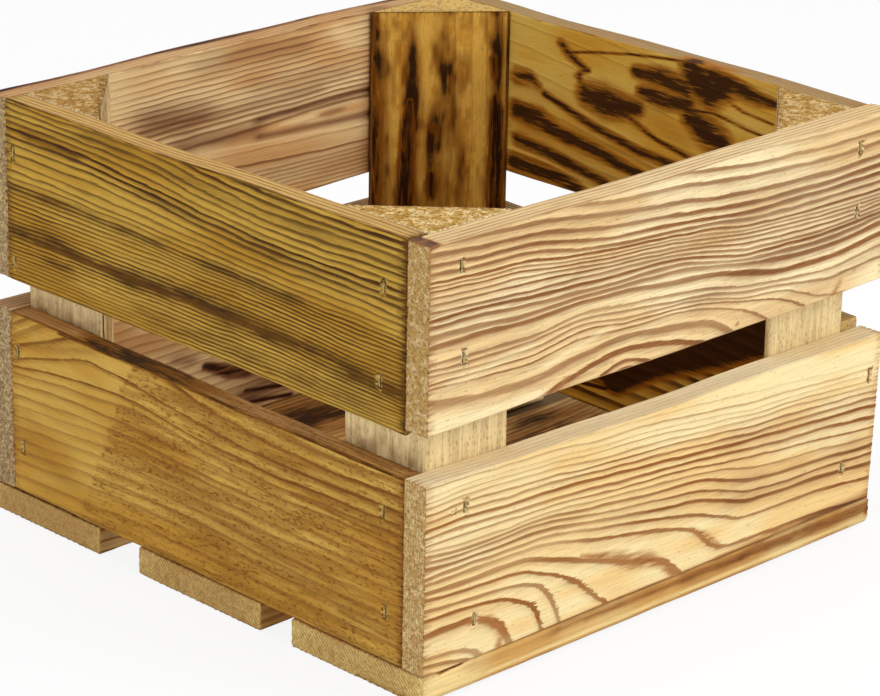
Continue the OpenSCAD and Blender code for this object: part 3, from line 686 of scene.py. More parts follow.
front_upper = flamed_board(
    "front_upper_slat_wood", front_place, LONG_LENGTH, LONG_BOARD, (0.1245, 0.1255), (RIM, RIM), (25, 95),
    front_upper_grain,
    toast_and_shade=[(0.4, [(170, 22, 9), (230, 30, 12), (300, 40, 12)]),
           (0.35, [(200, 4, 7), (260, 8, 8), (300, 20, 8)]),
           (0.4, [(110, 1, 5), (180, 1, 4)]),
           (0.25, [(0, 52, 14), (120, 50, 12), (300, 50, 16)]), (0.3, [(0, 80, 8), (150, 72, 8)]),
           (0.3, [(200, 62, 18), (300, 62, 24)]), (0.3, [(20, 32, 5), (60, 33, 5)])],
    burns_and_shade=[(0.6, [(50, 35, 1.2)]), (0.5, [(24, 29, 1.0)]), (0.5, [(36, 33, 1.0)]), (0.5, [(57, 30, 0.9)]),
           (0.6, [(196, 5, 1.4)]), (0.6, [(255, 5, 1.2)]),
           (0.34, [(78, 3, 3), (84, 7, 2.2)]), (0.34, [(262, 2, 2.4), (268, 8, 3)]), (0.34, [(278, 12, 2)]),
           (1.6, [(-1, 86.8, 3.4), (5, 86.8, 1.8)]), (0.34, [(0, 0, 1.3), (0, 88, 1.3)])],
    pale_and_highlight=[(0.8, [(284, 5, 3), (296, 8, 4)]), (0.5, [(15, 22, 4), (60, 28, 3)]),
          (0.9, [(0, 6, 7), (40, 3, 6), (66, 4, 4)]), (0.6, [(70, 16, 2), (110, 24, 2.5)])],
    crowns=front_upper_crowns, step=2.4 * MM, edges=(0.4, 0.45, 1.0),
    end_rings=((0, 0.4, -1.5), (50, 0.5, -1.6), (58, 1.0, 0.9), (90, 1.0, 1.0)), seed=22)
upper_colours = [tone(244, 224, 176), tone(232, 200, 144), tone(136, 86, 44), tone(172, 120, 72),
                 tone(62, 42, 36),
                 tone(188, 168, 94), tone(206, 178, 130)]
front_upper_finish = flamed_finish(
    "flamed pine, front upper", upper_colours, Jag=0.34, Fibre=1.1, Speck=0.25, Shoulder=0.45, Seed=2.0)
fit(front_upper, front_upper_finish, "front_upper_slat")

# Left lower slat: it butts between the front and rear slats. The planer only cleaned
# its rear end, and the rest is raised and speckled where the flame caught rough fibres.
SIDE_LENGTH = 0.270
left_place = ((X_LEFT, Y_FRONT + LONG_BOARD, 0), (0, 1, 0), (0, 0, 1), (1, 0, 0))
left_origin, left_along = Vector((X_LEFT, Y_FRONT + LONG_BOARD, 0)), Vector((0, 1, 0))


def seen_from_left(stations, lines):
    """Lines traced from the rear end of a side slat, turned to run from its front end."""
    from_front = [SIDE_LENGTH / MM - station for station in reversed(stations)]
    return from_front, [(count, width, dark, heights[::-1]) for count, width, dark, heights in lines]


def turned(strokes):
    """Brush strokes traced from the rear end of a side slat, turned in the same way."""
    return [(strength, [(SIDE_LENGTH / MM - s, h, radius) for s, h, radius in path]) for strength,
            path in strokes]


left_lower_stations, left_lower_lines = seen_from_left(
    [0, 30, 60, 90, 120, 150, 190, 230, 270],
    [
        (0, 1.6, 0.4, [-6, -6, -5, -5, -5, -5, -5, -5, -5]),
        (2, 1.8, 0.45, [8, 9, 10, 11, 11, 11, 10, 10, 10]),
        (1, 1.6, 0.4, [16, 17, 19, 20, 20, 20, 18, 17, 17]),
        (1, 1.6, 0.45, [21, 22.5, 25, 26, 26, 25, 23, 22, 22]),
        (1, 1.8, 0.35, [27, 28, 30, 31.5, 31.5, 31, 29, 28, 28]),
        (1, 1.8, 0.4, [33, 34.5, 36, 37.5, 37.5, 37, 35.5, 35, 35]),
        (1, 1.6, 0.45, [38, 40, 42, 44, 43.5, 42.5, 41, 40.5, 40.5]),
        (1, 1.5, 0.5, [44, 45.5, 48, 48.5, 48, 47, 46, 46, 46]),
        (1, 1.5, 0.75, [49, 50.5, 52.5, 52.8, 51.3, 49.7, 50, 51, 51.5]),
        (1, 1.6, 0.6, [54.5, 57, 58.5, 58.5, 57.5, 56.5, 55.5, 56, 56.5]),
        (1, 1.6, 0.6, [60, 62.5, 65, 67, 64.5, 61.5, 60.5, 61, 61.5]),
        (1, 1.3, 0.9, [63.5, 67.5, 70.5, 71.5, 68, 66, 65, 65.5, 66.5]),
        (1, 1.5, 0.95, [67, 75, 81.3, 79.5, 76, 73, 71.2, 71.7, 73]),
        (1, 1.8, 0.95, [73, 84, 93, 94, 88, 82.2, 78.6, 78.3, 80]),
        (1, 3.0, 0.7, [78, 92, 102, 104, 97, 90, 86, 85, 86]),
        (1, 2.0, 0.7, [84, 98, 110, 112, 105, 98, 94, 93, 94]),
    ])
left_lower_grain = Grain(SIDE_LENGTH, FLOOR_TOP, left_lower_stations, left_lower_lines, lean=-0.5, seed=13)
left_lower = flamed_board(
    "left_lower_slat_wood", left_place, SIDE_LENGTH, SIDE_BOARD, (FLOOR_TOP, FLOOR_TOP), (0.1025, 0.1055),
    (None, 100),
    left_lower_grain,
    toast_and_shade=turned([(0.55, [(120, 84, 6), (150, 76, 6), (270, 70, 6)]),
                  (0.35, [(100, 50, 14), (160, 30, 20), (240, 20, 14)]), (0.4, [(195, 84, 3), (240, 84, 3)]),
                  (0.5, [(20, 77, 3), (60, 88, 4)]), (0.3, [(10, 30, 14), (40, 16, 8)]),
                  (0.5, [(150, 66, 3), (270, 62, 3)])]),
    burns_and_shade=turned([(0.9, [(36, 89.6, 0.9), (60, 90, 1.8), (130, 90.3, 2.2), (180, 90.5, 1.6), (270, 91, 0.7)]),
                  (0.4, [(105, 90, 1), (113, 78, 1.2), (118, 66, 0.8)]), (0.35, [(92, 88, 1), (82, 74, 0.8)]),
                  (0.9, [(270, 0, 1.1), (270, 92, 1.1)]),
                  (0.3, [(200, 60, 1.6), (262, 58, 1.4)]), (0.3, [(140, 84, 1.6), (200, 78, 1.6)]),
                  (0.3, [(230, 14, 2), (262, 12, 2)])]),
    pale_and_highlight=turned([(0.35, [(10, 45, 10), (60, 52, 12)]), (0.3, [(130, 84, 3), (200, 79, 3)])]),
    crowns=crown_places("left_lower_staples", left_origin, left_along),
    rough=[(0, 222), (10, 217), (28, 208), (45, 200), (62, 192), (75, 188), (90, 178), (100, 178)],
    edges=(0.3, 0.5, 0.9), ends=(1.0, 0.5), end_rings=((0, 0.1, 1.4),), rim_char=(0.8, 3.6), seed=23)
golden = [tone(204, 164, 78), tone(190, 142, 56), tone(118, 70, 14), tone(136, 86, 26), tone(46, 28, 12),
          tone(184, 168, 104), tone(196, 148, 96)]
left_lower_finish = flamed_finish(
    "flamed pine, left lower", golden, Jag=0.3, Fibre=1.0, Speck=0.3, Shoulder=0.6, Fleck=0.8, Cloud=0.7,
    Stripes=0.5,
    Seed=3.0)
fit(left_lower, left_lower_finish, "left_lower_slat")

# Left upper slat: straight, close rings with the densest ones charred nearly black.
# It is stapled to both left posts, and its far staples lie close to its end.
left_upper_stations, left_upper_lines = seen_from_left(
    [0, 45, 90, 140, 190, 230, 270],
    [
        (0, 0.9, 0.7, [-4, -4, -4, -4, -4, -4, -4]),
        (13, 0.95, 0.85, [20.5, 20.5, 20.8, 20.8, 20.3, 18.3, 17]),
        (5, 1.0, 0.95, [30.5, 31, 30.8, 30.5, 29.8, 28, 27.5]),
        (4, 1.0, 0.9, [39, 39.5, 39.7, 38.5, 37.8, 35.5, 35]),
        (4, 1.1, 0.9, [48.3, 48, 47, 45.5, 44, 43.3, 42.5]),
        (1, 1.1, 0.7, [51.3, 51, 50, 48, 46, 45.2, 44.5]),
        (1, 1.2, 0.75, [55, 54, 52.5, 50.5, 48.7, 47.8, 47]),
        (1, 1.4, 0.85, [59, 57.8, 56.5, 54, 52, 51.3, 50.5]),
        (1, 1.5, 0.9, [63.3, 63, 61, 57.5, 55.5, 55, 53.3]),
        (1, 1.5, 0.9, [68, 67.5, 65.3, 61.5, 59, 58.5, 58]),
        (1, 1.6, 1.0, [71.5, 71, 68.7, 64.8, 62, 61.8, 61.5]),
        (1, 1.6, 1.0, [75.5, 75, 72, 68, 65, 65, 65]),
        (1, 1.4, 0.9, [78.5, 78, 75.8, 71, 68, 68, 68.5]),
        (1, 1.4, 0.95, [81.5, 81, 80, 75, 71.3, 71.5, 72]),
        (1, 1.5, 0.95, [84.5, 84, 83.5, 78.5, 74.6, 75, 75.2]),
        (1, 1.6, 0.9, [87.5, 87, 87, 83, 79, 79.5, 79.5]),
        (1, 2.0, 0.95, [91, 90.5, 90.5, 86.5, 83, 82.5, 83]),
        (1, 2.2, 0.9, [95, 94, 94, 90.5, 86.8, 86, 87]),
        (1, 2.0, 0.9, [99, 98, 98, 95, 92, 91, 92]),
    ])
left_upper_grain = Grain(SIDE_LENGTH, 0.121, left_upper_stations, left_upper_lines, lean=0.6, seed=14)
left_upper = flamed_board(
    "left_upper_slat_wood", left_place, SIDE_LENGTH, SIDE_BOARD, (0.122, 0.121), (RIM, RIM), (300, 370),
    left_upper_grain,
    toast_and_shade=turned([(0.9, [(0, 25, 4), (30, 27, 6), (60, 24, 4), (95, 24, 7), (130, 27, 5), (160, 24, 8),
                         (200, 24, 5),
                         (235, 21, 7), (268, 20, 5)]), (0.5, [(90, 22, 4), (120, 26, 3), (180, 23.5, 5)]),
                             (0.7, [(20, 74, 5), (50, 73, 4)]), (0.6, [(30, 17, 3), (45, 17, 3)]),
                  (0.6, [(0, 47, 4), (60, 47, 4), (110, 46, 3)]), (0.55, [(140, 45, 4), (200, 44, 4)]),
                             (0.4, [(100, 66, 5), (200, 60, 6), (270, 60, 5)]),
                  (0.35, [(60, 84, 5), (160, 78, 5), (270, 76, 6)]), (0.4, [(100, 10, 6), (250, 8, 6)])]),
    burns_and_shade=turned([(0.34, [(20, 24, 2.4), (100, 24, 3.4), (150, 24, 4), (200, 23.5, 3)]),
                  (0.5, [(236, 20, 3), (262, 19, 3)]),
                  (1.1, [(270.5, 0, 1.7), (270.5, 90, 1.7)])]),
    pale_and_highlight=turned([(0.3, [(40, 36, 3), (130, 35, 3)]), (0.3, [(60, 62, 4), (120, 58, 4)])]),
    crowns=crown_places("left_upper_staples", left_origin, left_along), across=0.6 * MM,
    edges=(0.4, 0.6, 1.0),
    ends=(1.3, 0.7), rim_char=(0.6, 1.8), seed=24)
umber = [tone(198, 158, 66), tone(180, 134, 44), tone(70, 38, 2), tone(96, 60, 8), tone(38, 20, 2),
         tone(184, 166, 100), tone(200, 160, 100)]
left_upper_finish = flamed_finish(
    "flamed pine, left upper", umber, Jag=0.6, Fibre=1.1, Speck=0.2, Shoulder=0.35, Cloud=1.1, Seed=4.0)
fit(left_upper, left_upper_finish, "left_upper_slat")

# Rear slats: full length battens. The inner face of the upper one shows through the
# open top: purple brown bands with one pale eye, left cream beside the posts.
rear_place = ((X_LEFT, Y_REAR, 0), (1, 0, 0), (0, 0, 1), (0, -1, 0))
rear_origin, rear_along = Vector((X_LEFT, Y_REAR, 0)), Vector((1, 0, 0))
rear_upper_grain = Grain(
    LONG_LENGTH, 0.120, [0, 72, 122, 172, 212, 300],
    [
        (0, 1.0, 0.35, [-6, -6, -6, -6, -6, -6]),
        (15, 0.8, 0.45, [28, 28, 28.5, 28, 27.5, 27]),
        (1, 1.3, 0.9, [33.5, 34, 33.6, 32, 30.5, 30]),
        (1, 1.0, 0.15, [41, 41, 41, 40, 38.5, 37]),
        (1, 1.6, 0.9, [50.5, 49, 50, 51.8, 53.3, 53]),
        (1, 1.4, 0.8, [55, 54.5, 55, 56, 57, 57]),
        (5, 0.9, 0.75, [69.5, 69.5, 70, 70.6, 71.2, 71]),
        (5, 0.85, 0.7, [84.5, 84.5, 85, 85.5, 86, 86]),
        (4, 1.4, 0.5, [100, 100, 100, 100, 100, 100]),
    ], lean=0.5, seed=15)
rear_upper = flamed_board(
    "rear_upper_slat_wood", rear_place, LONG_LENGTH, LONG_BOARD, (0.1205, 0.124), (RIM, RIM), (150, 220),
    rear_upper_grain,
    toast_and_shade=[(0.2, [(80, 64, 5), (96, 57, 7), (112, 50, 7)]),
           (0.9, [(106, 44.2, 6), (140, 43.6, 7), (154, 43, 5.6)]),
           (1.1, [(158, 47.8, 3.2), (232, 49, 3.8)]), (1.0, [(158, 38.6, 2.6), (232, 36.2, 3.6)]),
           (0.8, [(199, 42, 1.2), (206, 42, 2.6), (213, 42.2, 2)]), (0.75, [(92, 62, 10), (118, 60, 9)]),
           (0.5, [(84, 55, 6), (130, 55, 6), (195, 56, 5)]),
           (0.5, [(125, 82, 9), (150, 83, 10), (184, 80, 8)]), (0.35, [(160, 65, 9), (212, 62, 8)]),
           # The last stroke, dark and full height at 240 mm beside the rear right post, is a painted shadow
           # of the post.
           (0.4, [(130, 22, 14), (230, 15, 16)]), (1.8, [(240, 92, 5), (240, 50, 5.6), (240, 0, 6)])],
    pale_and_highlight=[(1.0, [(60, 88, 10), (64, 70, 8)]), (0.8, [(210, 85, 5), (220, 76, 5)]),
          (0.9, [(172, 42.4, 0.8), (184, 42.4, 3), (194, 42.4, 2.6)]),
          (0.9, [(192, 45, 1.2), (226, 45.4, 1)]), (0.9, [(192, 39.6, 1.2), (226, 38.9, 1.2)]),
          (0.9, [(100, 48.9, 0.8), (150, 50, 0.8), (230, 52, 0.8)]),
          (0.9, [(118, 38.2, 0.8), (160, 35.6, 0.8), (200, 34.2, 0.7)])],
    crowns=crown_places("rear_upper_staples", rear_origin, rear_along), edges=(0.4, 1.0, 0.8),
    rim_char=(1.3, 6.0),
    inner=True, seed=25)
rosy = [tone(242, 212, 156), tone(220, 170, 110), tone(146, 92, 52), tone(128, 82, 54), tone(48, 26, 14),
        tone(190, 178, 128), tone(168, 128, 84)]
rear_upper_finish = flamed_finish(
    "flamed pine, rear upper", rosy, Jag=0.14, Fibre=0.7, Speck=0.1, Shoulder=0.25, Cloud=0.1, Seed=5.0)
fit(rear_upper, rear_upper_finish, "rear_upper_slat")

rear_lower_grain = Grain(
    LONG_LENGTH, FLOOR_TOP, [0, 75, 150, 225, 300],
    [
        (0, 1.2, 0.3, [-8, -9, -8, -6, -5]),
        (5, 1.2, 0.3, [14, 16, 19, 20, 19]),
        (4, 1.2, 0.25, [34, 36, 38, 37, 35]),
        (4, 1.4, 0.25, [52, 56, 57, 54, 51]),
        (4, 2.0, 0.8, [72, 76, 78, 75, 70]),
        (5, 1.6, 0.7, [96, 99, 100, 97, 95]),
    ], ridges=[(170, 50, 60, 7, 1.6)], lean=-0.6, seed=16)
rear_lower = flamed_board(
    "rear_lower_slat_wood", rear_place, LONG_LENGTH, LONG_BOARD, (FLOOR_TOP, FLOOR_TOP), (0.107, 0.106),
    (None, 200),
    rear_lower_grain,
    toast_and_shade=[(0.25, [(60, 60, 14), (110, 45, 14)]), (0.7, [(103, 40, 4), (112, 37, 4)]),
           (1.2, [(124, 31, 4), (140, 25, 6), (152, 22, 5)]), (1.0, [(150, 10, 9), (290, 30, 30)]),
           (0.6, [(20, 10, 14), (150, 4, 8)])],
    burns_and_shade=[(1.1, [(122, 32, 3), (138, 25, 5), (150, 22, 4)]), (1.0, [(148, 12, 1.8), (180, 8, 1.8)]),
           (1.0, [(146, 6, 1.6), (180, 2, 1.6)]), (1.0, [(168, 60, 5), (250, 50, 9), (290, 40, 8)])],
    crowns=crown_places("rear_lower_staples", rear_origin, rear_along), inner=True, seed=26)
rear_lower_finish = flamed_finish(
    "flamed pine, rear lower", rosy, Jag=0.2, Fibre=0.6, Speck=0.1, Shoulder=0.7, Ragged=0.5, Seed=6.0)
fit(rear_lower, rear_lower_finish, "rear_lower_slat")

# Right slats: they butt between the long slats as the left ones do. Their inner faces
# took the most flame, with chocolate tongues along a figure that points to the rear.
right_place = ((X_RIGHT, Y_FRONT + LONG_BOARD, 0), (0, 1, 0), (0, 0, 1), (-1, 0, 0))
right_origin, right_along = Vector((X_RIGHT, Y_FRONT + LONG_BOARD, 0)), Vector((0, 1, 0))
right_upper_stations, right_upper_lines = seen_from_left(
    [0, 50, 100, 145, 200, 270],
    [
        (0, 1.0, 0.0, [-24, -24, -26, -28, -30, -34]),
        (3, 2.0, 0.15, [8, 8, 4, 0, -6, -12]),
        (3, 2.0, 0.15, [36, 36, 29, 22, 15, 8]),
        (2, 1.4, 0.1, [56, 54, 46, 38, 32, 26]),
        (2, 1.0, 0.12, [78, 76, 72, 66, 58, 50]),
        (3, 1.0, 0.12, [104, 102, 98, 94, 90, 84]),
    ])
right_upper_grain = Grain(SIDE_LENGTH, 0.123, right_upper_stations, right_upper_lines, lean=-0.5, seed=17)
right_upper = flamed_board(
    "right_upper_slat_wood", right_place, SIDE_LENGTH, SIDE_BOARD, (0.1235, 0.124), (RIM, RIM), (240, 310),
    right_upper_grain,
    toast_and_shade=turned([(0.45, [(52, 52, 9), (78, 46, 10), (110, 36, 10), (140, 30, 10)]),
                  (0.5, [(52, 28, 6), (100, 20, 8), (130, 16, 8)]),
                  (0.4, [(110, 62, 6), (140, 56, 8), (165, 46, 7)]),
                  (0.6, [(50, 2, 6), (90, 0, 6)])]),
    burns_and_shade=turned([
        (0.99, [(50, 8, 7.7), (75, 7.5, 7.3), (95, 5, 5.5), (106, 2, 3.6)]),
        (0.92, [(52, 20.5, 6.2), (75, 18.5, 5.5), (95, 15, 5.1), (116, 11.5, 4.4)]),
        (1.06, [(51, 36, 8.3), (68, 34.5, 9.1), (82, 30.5, 6.2), (105, 27.5, 6.2), (132, 23, 4.7),
                (146, 21, 3.6)]),
        (0.79, [(51, 54, 7.3), (60, 55, 6.2), (66, 52, 3.6)]),
        (0.86, [(70, 49, 3.2), (90, 43.5, 3.5), (105, 39.5, 4), (118, 37, 4.2), (135, 34, 4.4),
                (164, 32, 4.4)]),
        (0.99, [(99, 55, 10), (112, 54, 12.7), (122, 54, 10.9), (134, 55.5, 7.3)]),
        (0.79, [(128, 50, 3.2), (148, 42.5, 2.4), (172, 38, 2.4)]),
        (0.77, [(86, 74, 1.3), (105, 78, 1.3), (130, 82.3, 1.1), (162, 86.2, 1.4)]),
        (0.79, [(81, 77.5, 4.4), (87, 73, 4.7), (94, 69.6, 3.6), (101, 67.5, 2.3)]),
        (0.79, [(97, 67, 2.1), (93, 63, 3.1), (98, 58, 4.4)]),
        (0.92, [(132, 74, 5.5), (150, 74.5, 8.7), (166, 72, 9.1)]),
        (1.06, [(168, 86, 10.9), (172, 79, 14.6), (181, 74, 12.7), (190, 79, 10.9)]),
        (0.92, [(182, 83, 9.1), (198, 80.5, 7.3), (212, 78, 5.5), (223, 77.5, 4)]),
        (0.92, [(136, 64.5, 5.5), (151, 64, 8.1), (168, 65, 7.3)]),
        (0.99, [(168, 59, 8.1), (178, 55, 12.7), (188, 51, 12.7), (194, 45, 9.1)]),
        (0.77, [(192, 73, 1.3), (202, 69.5, 1.3), (222, 67.5, 1.1)]),
        (0.77, [(172, 63, 2.1), (184, 64.5, 1.4), (206, 61, 1.1), (222, 60, 1.1)]),
        (0.85, [(176, 61, 1.7), (186, 55, 1.7), (196, 48, 1.4)])]),
    # The three thin pale strokes at 50 mm from the rear end, beside the rear right post, are a painted
    # highlight.
    pale_and_highlight=turned([(0.6, [(60, 80, 12), (75, 66, 10)]), (0.6, [(190, 58, 4), (215, 64, 5)]),
                 (1.0, [(50, 66, 1.0), (50, 44, 1.2)]), (1.0, [(50.3, 30, 1.2), (50.3, 26, 1.2)]),
                 (1.0, [(50.3, 15, 1.2), (50.3, 12, 1.0)])]),
    crowns=crown_places("right_upper_staples", right_origin, right_along), across=0.65 * MM,
    edges=(0.3, 0.8, 0.8),
    rim=1.0, inner=True, seed=27)
tiger = [tone(218, 182, 86), tone(208, 156, 54), tone(64, 34, 8), tone(160, 98, 20), tone(44, 20, 4),
         tone(206, 186, 136), tone(150, 122, 88)]
right_upper_finish = flamed_finish(
    "flamed pine, right upper", tiger, Jag=0.2, Fibre=0.6, Speck=0.1, Shoulder=0.3, Ragged=0.7, Stripes=0.6,
    Seed=7.0)
fit(right_upper, right_upper_finish, "right_upper_slat")

right_lower_stations, right_lower_lines = seen_from_left(
    [0, 70, 140, 205, 270],
    [
        (0, 3.0, 1.0, [-10, -11, -12, -12, -13]),
        (2, 3.4, 1.0, [8, 7, 5, 4, 2]),
        (3, 3.0, 1.0, [30, 32, 30, 26, 22]),
        (3, 3.0, 1.0, [52, 56, 52, 46, 42]),
        (3, 2.6, 1.0, [74, 78, 75, 70, 66]),
        (4, 2.6, 1.0, [98, 100, 99, 96, 93]),
    ])
right_lower_grain = Grain(SIDE_LENGTH, FLOOR_TOP, right_lower_stations, right_lower_lines, lean=0.6, seed=18)
right_lower = flamed_board(
    "right_lower_slat_wood", right_place, SIDE_LENGTH, SIDE_BOARD, (FLOOR_TOP, FLOOR_TOP), (0.105, 0.104),
    (None, 330), right_lower_grain,
    toast_and_shade=[(0.75, [(0, 60, 26), (135, 55, 30), (270, 50, 26)])],
    burns_and_shade=[(1.9, [(145, 20, 12), (120, 38, 15), (75, 58, 16), (40, 74, 14)]),
           (1.3, [(150, 17, 1.6), (180, 15, 1.6)]),
           (1.3, [(150, 12, 1.6), (184, 9, 1.6)]), (1.2, [(40, 40, 5), (100, 20, 5)])],
    pale_and_highlight=[(1.0, [(-2, 96, 5), (-2, 80, 5)]), (0.8, [(48, 52, 0.8), (84, 52.5, 0.8)]),
          (0.8, [(46, 61, 0.7), (72, 61, 0.7)])], crowns=crown_places("right_lower_staples", right_origin,
              right_along), ends=(0.0, 0.5), inner=True, seed=28)
right_lower_finish = flamed_finish(
    "flamed pine, right lower", tiger, Jag=0.2, Fibre=0.6, Speck=0.1, Shoulder=0.5, Ragged=0.4, Seed=8.0)
fit(right_lower, right_lower_finish, "right_lower_slat")

# Corner posts: square timber sawn diagonally, so that each fills one corner and shows
# its rough long face inside. They stand on the floor boards, and the walls are stapled to them.
POST_TOP = 0.2099
NOSE = 1.6 * MM
POST_SQUEEZE = (1.0, 0.3)


def corner_post(name, corner, legs, ways, pith, flame_and_shade, seed):
    """A triangular post with its square corner at corner and its legs along x and y. flame_and_shade
    is how its long face took the fire, in strokes and blotches, and how its sawn top did."""
    outline = np.array([(0, 0), (legs[0], 0), (legs[0], NOSE), (NOSE, legs[1]), (0, legs[1])])
    rim = []
    for start, end, spacing in zip(outline, np.roll(outline, -1, axis=0), (2.0, 0.4, 0.75, 0.4, 2.0)):
        count = max(2, int(np.linalg.norm(end - start) / (spacing * MM)))
        rim.append(start + np.linspace(0, 1, count, endpoint=False)[:, None] * (end - start))
    rim = np.concatenate(rim)
    tangent = np.roll(rim, -1, axis=0) - np.roll(rim, 1, axis=0)
    normal = np.stack([tangent[:, 1], -tangent[:, 0]], 1)
    normal /= np.linalg.norm(normal, axis=1, keepdims=True)
    heights = np.linspace(FLOOR_TOP + 0.8 * MM, POST_TOP - 0.8 * MM, 76)
    heights = np.concatenate([[FLOOR_TOP], heights, [POST_TOP]])
    shrink = np.linspace(0, 1, 24)[1:-1]
    middle = rim.mean(axis=0)
    loops = [(middle + (rim - middle) * (1 - k), np.full(len(rim), heights[0]), 1) for k in shrink[::-1]]
    loops += [(rim, np.full(len(rim), z), 0) for z in heights]
    loops += [(middle + (rim - middle) * (1 - k), np.full(len(rim), heights[-1]), 1) for k in shrink]
    flat, z = np.concatenate([loop[0] for loop in loops]), np.concatenate([loop[1] for loop in loops])
    sawn = np.concatenate([np.full(len(rim), loop[2] == 1) for loop in loops])
    out = np.concatenate([normal for _ in loops])
    diagonal = np.array([legs[1], legs[0]]) / math.hypot(*legs)
    long_face = (out @ diagonal > 0.98) & ~sawn
    across = (flat @ np.array([legs[0], -legs[1]])) / math.hypot(*legs) + 0.05

    # Saw marks and torn lumps on the long face, and grainy sawn ends
    to_pith = np.linalg.norm(flat - np.array(pith), axis=1) / 0.0034
    to_pith = to_pith + 0.5 * mottle(seed, z / 0.05, across / 0.012)
    ring = np.where(sawn, 0.5 + 0.2 * mottle(seed, flat[:, 0] / 0.004, flat[:, 1] / 0.004), to_pith)
    saw = mottle(seed + 1, z / 0.0011, across / 0.02) + 0.7 * mottle(seed + 2, z / 0.006, across / 0.0045)
    lumps = 0.6 * mottle(seed + 3, z / 0.007, across / 0.005)
    curls = step_up(0.45, 0.8, lumps + 0.5 * mottle(seed + 5, z / 0.0028, across / 0.002))
    edge = np.minimum(z - FLOOR_TOP, POST_TOP - z)
    sink = np.where(long_face, 0.28 * MM * saw + 0.35 * MM * curls, 0.0)
    sink = sink + np.where(long_face, 0.5 * MM, 0.15 * MM) * (1 - step_up(0, 0.8 * MM, edge))
    flat = flat - out * ~sawn[:, None] * sink[:, None]
    grainy = 0.3 * MM * mottle(seed + 4, flat[:, 0] / 0.0011, flat[:, 1] / 0.0011)
    z = z - np.where(sawn & (z > 0.1), grainy, 0)
    points = np.stack([corner[0] + ways[0] * flat[:, 0], corner[1] + ways[1] * flat[:, 1], z], 1)
    centre = [corner[0] + ways[0] * middle[0], corner[1] + ways[1] * middle[1]]
    points = np.concatenate([points, [centre + [level] for level in (FLOOR_TOP, POST_TOP - 0.15 * MM)]])

    # How each face took the flame: the long face in strokes, the legs by what stands over them
    deep = flame_and_shade["blotches"] > 1
    blotches = 0.6 * mottle(seed + 8, z / 0.018, across / 0.0055)
    blotches = blotches + 0.5 * mottle(seed + 9, z / 0.006, across / 0.0026)
    face_scorch = soft_paint(flame_and_shade["toast_and_shade"], across, z, POST_SQUEEZE)
    face_scorch += 0.55 * flame_and_shade["blotches"] * step_up(0.5, 0.95, blotches)
    gap_foot, gap_top = 0.103, 0.117
    in_gap = (0.9 if ways[0] > 0 else 0) * (np.abs(out[:, 0]) > 0.9) * (1 - step_up(gap_foot, gap_top, z))
    leg_scorch = 0.25 * flame_and_shade["top"] + 1.3 * deep + in_gap * mottle(seed + 6, z / 0.004, flat[:, 1] / 0.003)
    other_scorch = np.where(sawn, flame_and_shade["top"], leg_scorch)
    face_warm = 0.3 + 0.35 * curls + 0.3 * mottle(seed + 6, z / 0.02, across / 0.004) - 0.1
    other_warm = 0.3 * mottle(seed, z / 0.03, across / 0.006)
    face_pale = soft_paint(flame_and_shade["pale_and_highlight"], across, z, POST_SQUEEZE) + 0.6 * curls * deep
    to_face = (rim @ diagonal).max() - flat @ diagonal
    top_edges = flame_and_shade["top_edge"] * (1 - step_up(1 * MM, 6 * MM, to_face))
    edges = np.where(sawn, top_edges, 0.8 * (1 - step_up(0.3 * MM, 1.4 * MM, edge)))

    def with_centres(values, last):
        return np.concatenate([values, [last, last]])

    nothing = np.zeros(len(points))
    masks = {
        "ring": with_centres(ring, ring.mean()), "late": nothing + 0.12,
        "slant": nothing, "rim": nothing, "end": nothing, "pit": nothing,
        "dark": with_centres(np.where(long_face, 0.35, 0.12), 0.5),
        "warm": with_centres(np.where(long_face, face_warm, other_warm), 0.5),
        "scorch_and_shade": with_centres(np.where(long_face, face_scorch, other_scorch), flame_and_shade["top"]),
        "burn_and_shade": with_centres(np.where(long_face, paint(flame_and_shade["burns_and_shade"], across, z), 0), 0.0),
        "pale_and_highlight": with_centres(np.where(long_face, face_pale, 0), 0.0),
        "cut": with_centres(sawn * 1.0, 1.0), "edge": with_centres(edges, 0.0),
        "rough": with_centres(np.where(long_face | sawn, 0.1, 0.45), 0.0),
        "grain": np.stack(
            [with_centres(z, FLOOR_TOP), with_centres(across, 0.05), with_centres(flat @ diagonal, 0.02)], 1),
    }
    last, n = len(loops) - 1, len(rim)
    a = np.arange(n)
    b = np.roll(a, -1)
    ring_of_quads = np.stack([a, b, n + b, n + a], 1)
    quads = np.concatenate([k * n + ring_of_quads for k in range(last)])
    low_cap = np.stack([np.full(n, len(points) - 2), b, a], 1)
    high_cap = np.stack([np.full(n, len(points) - 1), last * n + a, last * n + b], 1)
    piece = make_mesh(name, points, quads if ways[0] * ways[1] > 0 else quads[:, ::-1], masks)
    shell = bmesh.new()
    shell.from_mesh(piece.data)
    shell.verts.ensure_lookup_table()
    for triangle in np.concatenate([low_cap, high_cap]):
        shell.faces.new([shell.verts[int(i)] for i in triangle]).smooth = True
    bmesh.ops.recalc_face_normals(shell, faces=shell.faces)
    shell.to_mesh(piece.data)
    shell.free()
    return piece


